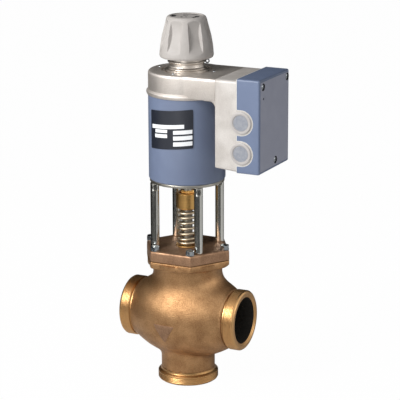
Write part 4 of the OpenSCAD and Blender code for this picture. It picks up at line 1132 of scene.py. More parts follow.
    def hex_head(self) -> Form:
        """A hexagon bolt's head with a bevelled crown, on a round seat.

        Returns:
            The head, standing on its seat.
        """
        flat, top, seat = self.head_w / 2, self.head_h, self.bolt_seat_h
        turn, beyond = pi / 6, 9.0
        rows = [(even(0), 0.0), (even(flat + 0.35), 0.0), (even(flat + 0.35), seat),
                (six_sided(flat, beyond, turn), seat), (six_sided(flat, beyond, turn), top - 0.8),
                (six_sided(flat, flat + 0.25, turn), top - 0.25),
                (six_sided(flat - 0.3, flat - 0.35, turn), top), (six_sided(flat - 1, flat - 1.0, turn), top),
                (six_sided(flat - 1, flat - 1.3, turn), top - 0.25), (even(0), top - 0.25)]
        return polar(rows, 48)

    def cast_mark(self) -> Form:
        """A low raised triangle on the front of the bulge, with no lettering.

        Returns:
            The triangle, which follows the bulge.
        """
        half, (low, high) = self.mark_half_w, self.mark_reach
        shrink, tip_rise, mid_up, pieces = 0.07, 1.6, 4, 5
        rows = []
        for edge, lift, share in ((0.0, -0.8, 1), (0.0, 0.3, 1), (0.5, 0.55, 1), (0.5, 0.55, 0.6),
                                  (0.5, 0.55, 0.2)):
            k = 1 - shrink * edge
            top = (high - edge) * k
            corners = [((edge - half) * k, top, 0.8), ((half - edge) * k, top, 0.8),
                       (-0.8 * k, (low + tip_rise * edge) * k, 0.9)]
            line = np.array(rounded(corners, 4, loop=True))
            dense = [p + (q - p) * t / pieces for p, q in zip(line, np.roll(line, -1, axis=0))
                     for t in range(pieces)]
            row = []
            for u, v in dense:
                x, up = share * u + self.mark_at[0], share * (v - mid_up) + self.mark_at[1]
                out = sqrt(max(self.bulge(x) ** 2 - up ** 2, 1.0)) + lift
                row.append((x, -out, up + self.axis_z))
            rows.append(np.array(row))
        return loft(rows, ends=True)

    def build(self) -> None:
        """Makes and dresses the body, its flange, its collars and its bonnet."""
        shop = self.shop
        low, high, cell = (-51, -46, -57), (51, 46, 59.5), 1.4
        casting = surface_nets(self.casting_distance, low, high, cell)
        # The faces of the passages take the near-black finish as painted shade.
        shop.piece("globe_casting", casting.moved(z=self.axis_z), Look.CAST_BRONZE, "cast_bronze",
                   replaces=["valve_body"], sharp=50,
                   inner=(Look.PAINTED_BORE_SHADE, lambda p: self.passage_distance(p - (0, 0, self.axis_z)) < 0.6))
        shop.piece("body_flange", self.flange(), Look.CAST_BRONZE, "cast_bronze", replaces=["valve_body"])
        # The mark's darker bronze is painted shade, standing for the shadow of its low relief.
        shop.piece("cast_mark", self.cast_mark(), Look.DARK_BRONZE, "cast_bronze")
        # Each side port's bore takes the near-black finish as painted shade.
        ports = {"outlet_collar": Axis.RIGHT, "inlet_collar": Axis.LEFT}
        for node, axis in ports.items():
            shop.piece(f"threaded_{node}", self.collar().turned(axis).moved(z=self.axis_z), Look.TURNED_PORT,
                       "cast_bronze", replaces=[node], inner=(Look.PAINTED_BORE_SHADE, lambda p: np.hypot(
                           p[:, 1], p[:, 2] - self.axis_z) < self.bore_r + 0.1))
        # The lower port's bore takes the near-black finish as painted shade.
        shop.piece("threaded_bypass_collar", self.foot(), Look.TURNED_LOW_PORT, "cast_bronze",
                   replaces=["bypass_collar"], inner=(
                       Look.PAINTED_BORE_SHADE, lambda p: np.hypot(p[:, 0], p[:, 1]) < self.bore_r + 0.1))
        shop.piece("bonnet_plate", self.bonnet(), Look.DARK_BRONZE, "dark_bronze", replaces=["bonnet"])
        places = round_places([self.bolt_r[i % 3 == 0] for i in range(6)], 0, self.bonnet_z[1])
        heads = self.repeats.set_at(self.hex_head(), places, Look.ZINC, "bolt_heads", (0, 0, 0.35))
        shop.piece("bonnet_bolt_heads", heads, Look.ZINC, "zinc_plate", replaces=["bonnet_bolts"])
        tip, r = -self.shank_l, self.shank_r
        shank = lathe([(0, tip, 0), (r - 0.4, tip, 0), (r, tip + 0.5, 0), (r, 0.1, 0), (0, 0.1, 0)], sides=24)
        shanks = self.repeats.set_at(shank, places, Look.ZINC, "bolt_shanks")
        shop.piece("bonnet_bolt_shanks", shanks, Look.ZINC, "zinc_plate", replaces=["bonnet_bolts"])
        shop.dress(Look.STAINLESS, "upper_seat_ring", "lower_seat_ring")
        shop.dress(Look.DARK_FIBRE, "bonnet_gasket")
        shop.dress(Look.BRASS, "guide_bush", "gland_bush")
        shop.dress(Look.SOFT_SEAL, "stem_seal")


@dataclass
class StemAndSpring:
    """The stem with its plug, the return spring between its seat and its brass retainer, and the pillars."""

    shop: Workshop
    repeats: Repeats
    seat_z: Span = (135.4, 137.9)
    seat_r: float = 11.5
    spring_r: float = 8.7
    wire_r: float = 1.3
    turns: float = 7.0
    end_rise: float = 3.2
    helix_z: Span = (139.5, 172.8)
    first_turn: float = 170.0
    keep: float = 0.79
    retainer_z: Span = (174.4, 190.4)
    retainer_r: float = 11.2
    nut_z: Span = (188.4, 193.4)
    nut_r: float = 7.4
    stem_r: float = 5.0
    stem_z: Span = (60.2, 276.5)
    groove_z: Span = (193.6, 197.5)
    pillar_ring_r: float = 33.3
    pillar_r: float = 4.3
    pillar_z: Span = (137.4, 203.0)
    pillar_flat: float = 3.5
    pillar_turn: float = 0.6
    stud_r: float = 3.0
    stud_l: float = 8.0
    tail_l: float = 2.4

    def wire_path(self) -> Array:
        """Centre line of the spring: closed end turns, and a tail bent into each seat.

        Returns:
            Its points.
        """
        low, high = self.helix_z
        rise = high - low
        pitch = (rise - 2 * self.end_rise) / (self.turns - 2)
        out = round_places([self.spring_r], self.first_turn, low - self.tail_l)
        steps = round(self.turns * 28)
        for i in range(steps + 1):
            t = self.turns * i / steps
            if t < 1:
                up = self.end_rise * t
            elif t > self.turns - 1:
                up = rise - self.end_rise * (self.turns - t)
            else:
                up = self.end_rise + pitch * (t - 1)
            a = radians(self.first_turn + 360 * t)
            out.append((self.spring_r * cos(a), self.spring_r * sin(a), low + up))
        x, y, z = out[-1]
        return np.array(out + [(x, y, z + self.tail_l)])

    def retainer(self) -> Form:
        """The turned brass retainer, bevelled below and recessed above.

        Returns:
            The retainer.
        """
        low, high = self.retainer_z
        r, pit = self.retainer_r, self.nut_r + 0.4
        return lathe([(self.stem_r, low, 0), (r - 1.6, low, 0.3), (r, low + 1.5, 0.4), (r, high, 0.5),
                      (pit, high, 0.3), (pit, high - 2, 0), (self.stem_r, high - 2, 0)], ring=True, sides=96)

    def nut(self) -> Form:
        """The hexagonal lock nut over the retainer.

        Returns:
            The nut.
        """
        low, high = self.nut_z
        flat, bore = self.nut_r * cos(pi / 6), even(self.stem_r + 0.02)
        return polar([(bore, low), (six_sided(flat, 7.0), low), (six_sided(flat, 9), low + 0.4),
                      (six_sided(flat, 9), high - 0.6), (six_sided(flat, 6.6), high), (even(6.0), high),
                      (bore, high - 0.5)], 72, ring=True)

    def pillar(self) -> Form:
        """One pillar: flats near the top and a small collar under the plate.

        Returns:
            The pillar, along Z from its foot.
        """
        low, high = self.pillar_z
        height, r, stud, flat = high - low, self.pillar_r, self.stud_r, self.pillar_flat

        def row(r: float, flats: float = 9.0) -> Rule:
            """A round row with two flats at a distance from the axis."""
            return lambda t: np.minimum(r, flats / np.maximum(np.abs(np.sin(t)), 1e-3))
        rows = [(row(0), -self.stud_l), (row(stud - 0.4), -self.stud_l), (row(stud), 0.4 - self.stud_l),
                (row(stud), 0.0), (row(3.7), 0.0), (row(4.15), 0.35), (row(r), 0.9), (row(r), 1.2),
                (row(r), height - 7.9), (row(r), height - 7.6), (row(r, flat), height - 7.0),
                (row(r, flat), height - 1.4), (row(r), height - 0.8), (row(r), height - 0.3),
                (row(r - 0.4), height), (row(2.2), height), (row(2.2), height + 2.4), (row(0), height + 2.4)]
        return polar(rows, 48)

    def build(self) -> None:
        """Makes and dresses the stem, the spring, its seats and the pillars."""
        shop = self.shop
        low, high = self.seat_z
        seat = lathe([(self.stem_r + 0.3, low, 0), (self.seat_r, low, 0), (self.seat_r, high, 0.4),
                      (self.spring_r + 1.9, high, 0.2), (self.spring_r + 1.6, high - 0.3, 0.2),
                      (self.stem_r + 1.9, high - 0.3, 0.2), (self.stem_r + 1.4, high, 0.2),
                      (self.stem_r + 0.3, high, 0)], ring=True, sides=72)
        pit = lathe([(0, high - 1.6, 0), (1.55, high - 1.6, 0), (1.55, high + 1, 0), (0, high + 1, 0)],
                    sides=24)
        spot = self.wire_path()[0]
        shop.piece("spring_foot_ring", cut(seat, [pit.moved(spot[0], spot[1])]), Look.BRASS, "brass",
                   replaces=["spring_seat"])
        coil = self.repeats.wind(self.wire_path(), self.wire_r, Look.SPRING_WIRE, "coil")
        spring = shop.piece("wound_return_spring", coil, Look.SPRING_WIRE, "spring_steel",
                            replaces=["return_spring"], sharp=60)
        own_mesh(spring)
        end = self.wire_path()[-1]
        foot = self.retainer_z[0]
        hole = lathe([(0, foot - 1, 0), (1.6, foot - 1, 0), (1.6, foot + 1.5, 0), (0, foot + 1.5, 0)],
                     sides=24)
        shop.piece("brass_retainer", cut(self.retainer(), [hole.moved(end[0], end[1])]), Look.BRASS, "brass",
                   Body.STEM, ["spring_retainer"])
        shop.piece("hex_lock_nut", self.nut(), Look.BRASS, "brass", Body.STEM, ["lock_nut"])
        bottom, top = self.stem_z
        r, groove, (g0, g1) = self.stem_r, self.stem_r - 0.35, self.groove_z
        rod = lathe([(0, bottom, 0), (r - 0.7, bottom, 0), (r, bottom + 0.7, 0.2), (r, g0 - 0.6, 0),
                     (groove, g0, 0), (groove, g1, 0), (r, g1 + 0.7, 0), (r, top, 0), (0, top, 0)], sides=64)
        shop.piece("ground_stem", rod, Look.SOFT_IRON, "stainless", Body.STEM, ["valve_stem"])
        places = round_places([self.pillar_ring_r] * 4, 45, self.pillar_z[0])
        rods = self.repeats.set_at(self.pillar(), places, Look.PILLAR_ZINC, "rods", (0, 0, self.pillar_turn))
        shop.piece("magnet_pillars", rods, Look.PILLAR_ZINC, "zinc_plate", replaces=["pillars"])
        shop.dress(Look.BRASS, "valve_plug")
        shop.dress(Look.SOFT_SEAL, "upper_plug_seal", "lower_plug_seal")


@dataclass
class Magnet:
    """The painted magnet with its plate, its curved nameplate, and the cap with the arm on top."""

    shop: Workshop
    repeats: Repeats
    plate_z: float = 203.0
    rim_r: float = 36.4
    shell_r: float = 37.3
    shell_z: Span = (205.9, 290.7)
    core_r: float = 11.35
    plate_step_r: float = 34.75
    shell_bore_r: float = 34.8
    plate_t: float = 0.5
    label_rise: float = 0.055
    label_turn: Span = (232.0, 305.5)
    label_z: Span = (241.0, 278.5)
    cap_z: float = 291.0
    top_z: float = 312.5
    bead_r: float = 39.0
    arm_w: float = 34.4
    arm_x: float = 46.5
    arm_low_z: float = 290.4
    blend_r: float = 12.0
    edge_r: float = 3.0
    neck_hole_r: float = 15.95
    cap_bore_r: float = 33.7
    roof_t: float = 4.0
    recess_d: float = 1.6
    foot_x: float = 34.5
    foot_fillet: float = 6.5
    rivet_ring_r: float = 29.0
    blanks: tuple[tuple[Span, Span], ...] = (
        ((236.2, 292.4), (260.7, 264.6)), ((243.8, 266.6), (256.3, 259.5)), ((243.1, 266.5), (251.4, 255.0)),
        ((276.0, 304.2), (256.6, 260.4)), ((276.0, 304.2), (250.9, 254.9)), ((276.0, 304.2), (245.1, 249.2)))

    def plate(self) -> Form:
        """The steel plate under the shell, round its bore."""
        low, bore, step, rim = self.plate_z, self.core_r, self.plate_step_r, self.rim_r
        return lathe([(bore, low, 0), (rim, low, 0.5), (rim, low + 2.6, 0.5), (step, low + 2.6, 0),
                      (step, low + 8.6, 0.4), (bore, low + 8.6, 0)], ring=True, sides=128)

    def shell(self) -> Form:
        """The shell, rolled in a little at its lower edge.

        Returns:
            The shell, open at both ends.
        """
        low, high = self.shell_z
        r, bore = self.shell_r, self.shell_bore_r
        return lathe([(bore, low, 0), (r - 0.9, low, 0.5), (r, low + 1.1, 1.0), (r, high, 0.3),
                      (bore, high, 0)], ring=True, sides=160, steps=6)

    def curved(self, turn: Span, height: Span, low: float, high: float, corner: float) -> Form:
        """A thin sheet with round corners, bent round the shell.

        Args:
            turn: First and last angle in degrees.
            height: Lower and upper edge.
            low: Radius of its back.
            high: Radius of its front.
            corner: Rounding of its corners.

        Returns:
            The sheet.
        """
        mid = (turn[0] + turn[1]) / 2
        half_w = radians(turn[1] - turn[0]) / 2 * high
        half_h = (height[1] - height[0]) / 2
        columns = max(8, round(half_w))
        across = np.concatenate([-half_w + corner * (1 - np.cos(np.linspace(0, pi / 2, 5))),
                                 np.linspace(-half_w + corner, half_w - corner, columns)[1:-1],
                                 half_w - corner * (1 - np.cos(np.linspace(pi / 2, 0, 5)))])
        rows = []
        for u in across:
            over = max(abs(u) - half_w + corner, 0.0)
            v = half_h - corner + sqrt(max(corner ** 2 - over ** 2, 0.0)) if corner else half_h
            a = radians(mid) + u / high
            z = (height[0] + height[1]) / 2 + self.label_rise * degrees(u / high)
            rows.append(np.array([(r * cos(a), r * sin(a), z + s * v)
                                  for r, s in ((low, -1), (high - 0.06, -1), (high, -0.995), (high, 0.995),
                                               (high - 0.06, 1), (low, 1))]))
        return loft(rows, ends=True)

    def outline(self, inset: float) -> Array:
        """The cap's outline seen from above, with the arm that runs to the housing.

        Args:
            inset: How far it lies in.

        Returns:
            Rows of X and Y, as many at every inset.
        """
        r, w, f = self.shell_r - inset, self.arm_w - inset, self.blend_r + inset
        mid_y = self.arm_w + self.blend_r
        mid_x = sqrt((r + f) ** 2 - mid_y ** 2)
        meet = atan2(mid_y, mid_x)
        half = [(self.arm_x, 0.0), (self.arm_x, w * 0.5), (self.arm_x, w)]
        half += [(self.arm_x - t * (self.arm_x - mid_x), w) for t in (0.3, 0.7, 0.95)]
        for t in np.linspace(0, 1, 9):
            a = -pi / 2 - t * (pi / 2 - meet)
            half.append((mid_x + f * cos(a), mid_y + f * sin(a)))
        for a in np.linspace(meet, pi, 60)[1:]:
            half.append((r * cos(a), r * sin(a)))
        return np.array(half + [(x, -y) for x, y in half[-2:0:-1]])

    def ring_row(self, r: float, like: Array) -> Array:
        """Points on a circle, one for each point of an outline."""
        a = np.arctan2(like[:, 1], like[:, 0])
        return np.stack([r * np.cos(a), r * np.sin(a)], 1)

    def cap(self) -> Form:
        """The cap's round part and arm in one skin, with the recessed ring round the neck.

        Returns:
            The cap.
        """
        def at(flat: Array, z: float) -> Array:
            """A row at a level."""
            return np.hstack([flat, np.full((len(flat), 1), z)])
        outer = self.outline(0)
        bore, hole, deep = self.cap_bore_r, self.neck_hole_r, self.recess_d
        rows = [at(self.ring_row(bore, outer), self.cap_z + 0.2), at(self.outline(1.0), self.cap_z + 0.2),
                at(self.outline(0.2), self.cap_z + 0.25), at(outer, self.cap_z + 0.8),
                at(outer, self.top_z - self.edge_r - 0.6)]
        for t in np.linspace(0, pi / 2, 8):
            inset = self.edge_r * (1 - cos(t))
            rows.append(at(self.outline(inset), self.top_z - self.edge_r * (1 - sin(t))))
        rows += [at(self.outline(self.edge_r + 0.6), self.top_z)]
        for r, down in ((25.4, 0), (24.9, 0), (24.6, 0.25), (24.5, deep), (21.6, deep), (hole, deep),
                        (hole, self.roof_t), (bore, self.roof_t)):
            rows.append(at(self.ring_row(r, outer), self.top_z - down))
        return loft(rows, ring=True)

    def bead(self) -> Form:
        """The bead and skirt of the cap, over the shell's upper edge."""
        r, low, base = self.shell_r, self.shell_z[1] - 1.6, self.cap_z
        return lathe([(r + 0.15, low, 0), (r + 0.8, low, 0.4), (self.bead_r, base, 1.0),
                      (self.bead_r, base + 1.6, 1.2), (r + 0.05, base + 3.4, 1.2), (r - 0.8, base + 4.6, 0),
                      (r - 0.8, base + 0.2, 0), (r + 0.15, base + 0.1, 0)], ring=True, sides=160)

    def arm_foot(self) -> Form:
        """The arm's underside from the bead to the housing, with the fillet at its end.

        Returns:
            The underside.
        """
        w, x0, x1, low, fillet = self.arm_w, self.foot_x, self.arm_x, self.arm_low_z, self.foot_fillet
        line = [(x0, self.cap_z + 1.0), (x0, low)]
        line += [(x1 - fillet + fillet * sin(t), low - fillet + fillet * cos(t))
                 for t in np.linspace(0, pi / 2, 10)]
        line += [(x1, self.cap_z + 1.0)]
        rows = []
        for y, inset in ((-w, 1.6), (-w + 0.25, 0.75), (-w + 0.8, 0.2), (-w + 1.6, 0.0), (w - 1.6, 0.0),
                         (w - 0.8, 0.2), (w - 0.25, 0.75), (w, 1.6)):
            rows.append(np.array([(x, y, z + (inset if z < self.cap_z else 0)) for x, z in line]))
        return loft(rows, ends=True)

    def build(self) -> None:
        """Makes and dresses the magnet, its nameplate and its cap."""
        shop = self.shop
        shop.piece("steel_plate", self.plate(), Look.SOFT_IRON, "soft_iron", replaces=["magnet_plate"])
        shop.piece("painted_shell", self.shell(), Look.BLUE_PAINT, "blue_paint", replaces=["magnet_shell"])
        back = self.shell_r + 0.03
        face = self.shell_r + self.plate_t
        shop.piece("blank_nameplate", self.curved(self.label_turn, self.label_z, back, face, 1.2), Look.LABEL,
                   "black_label", replaces=["nameplate"])
        blank = together(self.curved(*span, face - 0.05, face + 0.05, 0.3) for span in self.blanks)
        shop.piece("nameplate_fields", blank, Look.LABEL_FIELD, "black_label")
        for name, form, sharp in (("cap_and_arm", self.cap(), 28.0), ("cap_bead", self.bead(), 32.0),
                                  ("arm_fillet", self.arm_foot(), 32.0)):
            shop.piece(name, form, Look.CAST_ALUMINIUM, "cast_aluminium", replaces=["top_cap"], sharp=sharp)
        rivet = lathe([(0, -4, 0), (0.75, -4, 0), (0.75, 0, 0), (1.5, 0, 0), (1.45, 0.3, 0.2),
                       (1.0, 0.72, 0.5), (0, 0.8, 0)], sides=24)
        places = round_places([self.rivet_ring_r] * 4, 0, self.top_z)
        shop.piece("cap_rivet_heads", self.repeats.set_at(rivet, places, Look.ZINC, "rivets"), Look.ZINC,
                   "zinc_plate", replaces=["cap_rivets"])
        shop.dress(Look.SOFT_IRON, "fixed_core", "upper_yoke", "armature")
        shop.dress(Look.STAINLESS, "guide_tube")
        shop.dress(Look.BOBBIN, "coil_bobbin")
        shop.dress(Look.COPPER, "coil_winding")


@dataclass
class HandDrive:
    """The ribbed neck on the cap, and the fluted handwheel that presses and turns in it."""

    shop: Workshop
    repeats: Repeats
    foot_z: float = 303.75
    cap_z: float = 312.5
    neck_top_z: float = 321.5
    bore_r: float = 12.5
    waist_r: float = 16.4
    rib_r: float = 17.9
    wheel_z: Span = (324.3, 364.3)
    wheel_r: float = 26.1
    rim_w: float = 3.6
    hub_r: float = 12.2
    hub_top_z: float = 348.3
    disc_r: float = 15.5
    disc_z: Span = (360.5, 363.5)
    flutes: int = 7
    floor_w: float = 9.6
    flute_slope: float = 0.65
    flute_depth: float = 4.2
    first_flute: float = 267.0
    bell_shares: tuple[Corner, ...] = (
        (0.895, 0.0, 0.9), (0.972, 0.012, 1.0), (1.0, 0.06, 3.0), (0.977, 0.273, 30), (0.912, 0.518, 30),
        (0.789, 0.823, 20), (0.751, 0.925, 5), (0.705, 0.982, 1.6), (0.655, 1.0, 0.8), (0.6, 1.0, 0))
    slots: tuple[tuple[Span, Span], ...] = (
        ((172, 216), (10.2, 14.7)), ((328, 385), (8.4, 12.8)), ((236, 258), (5.0, 7.4)),
        ((284, 306), (3.0, 5.0)), ((60, 130), (11.6, 13.8)), ((100, 150), (4.4, 6.6)))
    slot_d: float = 2.6
    eyelet_at: Span = (19.9, 320.3)
    eyelet_turn: float = 26.0
    key_half_w: float = 6.1
    key_z: Span = (302.0, 308.0)
    coil_r: float = 10.4
    coil_foot_z: float = 307.0
    coil_wire_r: float = 0.7
    coil_turns: float = 5.0

    def neck(self) -> Form:
        """The neck with its ribs, open above.

        Returns:
            The neck, round its bore.
        """
        low, top, foot, bore = self.cap_z, self.neck_top_z, self.foot_z, self.bore_r
        return lathe([(bore, foot + 2.5, 0), (bore, top + 2.6, 0.3), (16.2, top + 2.6, 0.4), (16.3, top, 0.2),
                      (self.rib_r + 0.4, top - 0.2, 0.5), (self.rib_r + 0.3, top - 1.6, 0.5),
                      (self.waist_r + 0.3, top - 2.4, 0.5), (self.waist_r + 0.5, low + 3.6, 1.2),
                      (18.6, low + 1.9, 0.5), (18.3, low + 1.5, 0.2), (20.4, low + 0.7, 0.4),
                      (20.2, low + 0.35, 0.2), (21.4, low + 0.1, 0.3), (21.5, low - 1.4, 0),
                      (15.9, low - 1.4, 0), (15.9, foot, 0), (8.7, foot, 0), (8.7, foot + 2.5, 0)],
                     ring=True, sides=128)

    def bell(self) -> list[Span]:
        """The bell's outline from rim to top, in steps short enough for the flutes.

        Returns:
            Points of radius and height.
        """
        low, high = self.wheel_z
        tall, longest = high - low, 0.7
        line = rounded([(a * self.wheel_r, low + b * tall, r) for a, b, r in self.bell_shares], 7)
        dense = [line[0]]
        for (r0, z0), (r1, z1) in zip(line, line[1:]):
            count = max(1, ceil(hypot(r1 - r0, z1 - z0) / longest))
            dense += [(r0 + (r1 - r0) * k / count, z0 + (z1 - z0) * k / count) for k in range(1, count + 1)]
        return dense

    def fluted(self, r: float, share: float, t: Array) -> Array:
        """A row of the bell with its flutes, which end short of the rim.

        Args:
            r: The bell's radius.
            share: Height of the row, as a share of the bell's.
            t: Angles round the stem.

        Returns:
            The radius at each angle.
        """
        start, length, fullness, over = 0.12, 0.84, 0.8, 0.6
        slope, widening, least, reach, beyond = self.flute_slope, 1.2, 0.02, 0.6, 99.0
        floor_blend, edge_blend = 0.3, 0.35
        bow = sin(pi * min(max((share - start) / length, 0.0), 1.0)) ** fullness
        floor = r + over - (self.flute_depth + over) * bow
        half = self.floor_w / 2 + slope * (self.flute_depth * (1 - bow) + widening * (0.5 - share))
        radius = np.full(len(t), r)
        for k in range(self.flutes):
            turn = (t - radians(self.first_flute + 360 / self.flutes * k) + pi) % (2 * pi)
            turn = np.abs(turn - pi)
            lean = slope * np.cos(turn) - np.sin(turn)
            wall = np.where(lean > least, (slope * floor - half) / np.maximum(lean, least), beyond)
            wall = np.where(np.tan(turn) * floor < half, 0.0, wall)
            inner = smooth_max(floor / np.maximum(np.cos(turn), 0.2), wall, floor_blend)
            radius = np.where(turn < reach, smooth_min(radius, inner, edge_blend), radius)
        return radius

    def wheel(self) -> Form:
        """The handwheel: a fluted bell, hollow from below.

        Returns:
            The handwheel.
        """
        low, high = self.wheel_z
        tall = high - low
        t = np.linspace(0, 2 * pi, 360, endpoint=False)
        inside, disc = self.wheel_r - self.rim_w, self.disc_z[0]
        skins = [(np.full(len(t), inside), low + tall / 8), (np.full(len(t), inside), low)]
        skins += [(self.fluted(r, (z - low) / tall, t), z) for r, z in self.bell()]
        for r, z in ((self.disc_r + 0.1, high), (self.disc_r + 0.05, high - 0.2), (self.disc_r + 0.05, disc),
                     (10.05, disc), (10.05, self.hub_top_z), (8.06, self.hub_top_z), (8.06, low),
                     (self.hub_r, low), (self.hub_r, low + tall / 5)):
            skins.append((np.full(len(t), r), z))
        return loft([np.stack([r * np.cos(t), r * np.sin(t), np.full(len(t), z)], 1) for r, z in skins], True)

    def slot(self, turn: Span, reach: Span) -> Form:
        """The cutter of a slot in the top disc, between two angles in degrees and two radii."""
        (near, far), low, high = reach, self.disc_z[1] - self.slot_d, self.disc_z[1] + 1
        return lathe([(near, low, 0), (far, low, 0), (far, high, 0), (near, high, 0)], sides=28, span=turn)

    def build(self) -> None:
        """Makes and dresses the neck, the eyelet and the handwheel."""
        shop = self.shop
        key = (-self.key_half_w, self.key_half_w)
        shop.piece("ribbed_neck", cut(self.neck(), [block(key, key, self.key_z)]), Look.TURNED_NECK,
                   "cast_aluminium", replaces=["handwheel_neck"])
        loop = lathe([(1.05, -0.55, 0.3), (2.2, -0.55, 0.4), (2.2, 0.55, 0.4), (1.05, 0.55, 0.3)], True, 36)
        far, level = self.eyelet_at
        eyelet = loop.turned(Axis.FRONT).moved(far, 0, level).spun(self.eyelet_turn)
        shop.piece("wire_eyelet", eyelet, Look.DARK_RECESS, "zinc_plate", replaces=["seal_eyelet"])
        shop.piece("fluted_handwheel", self.wheel(), Look.GREY_PLASTIC, "grey_plastic", Body.WHEEL,
                   ["handwheel"], sharp=40)
        low, top = self.disc_z
        disc = lathe([(0, low, 0), (self.disc_r, low, 0), (self.disc_r, top, 0.3), (0, top, 0)], sides=96)
        slots = [self.slot(*opening) for opening in self.slots]
        # The slots' walls and floors take the near-black finish: painted shade.
        shop.piece("slotted_top_disc", cut(disc, slots), Look.GREY_PLASTIC, "grey_plastic", Body.WHEEL,
                   ["handwheel_cap"], inner=(
                       Look.DARK_RECESS, lambda p: (p[:, 2] < top - 0.05) & (p[:, 2] > low + 0.1)
                       & (np.hypot(p[:, 0], p[:, 1]) < self.disc_r - 0.2)))
        shop.dress(Look.BRASS, "handwheel_nut", "press_sleeve")
        shop.dress(Look.SOFT_IRON, "neck_ring", "sleeve_clip")
        shop.dress(Look.STAINLESS, "thrust_spindle")
        count, r = 160, self.coil_r
        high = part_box("press_spring")[1][2] / MM - self.coil_wire_r - 0.05
        t = np.linspace(0, 2 * pi * self.coil_turns, count)
        line = np.stack([r * np.cos(t), r * np.sin(t), np.linspace(self.coil_foot_z, high, count)], 1)
        coil = self.repeats.wind(line, self.coil_wire_r, Look.SPRING_WIRE, "press_coil")
        spring = shop.piece("wound_press_spring", coil, Look.SPRING_WIRE, "spring_steel",
                            replaces=["press_spring"], sharp=60)
        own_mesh(spring)


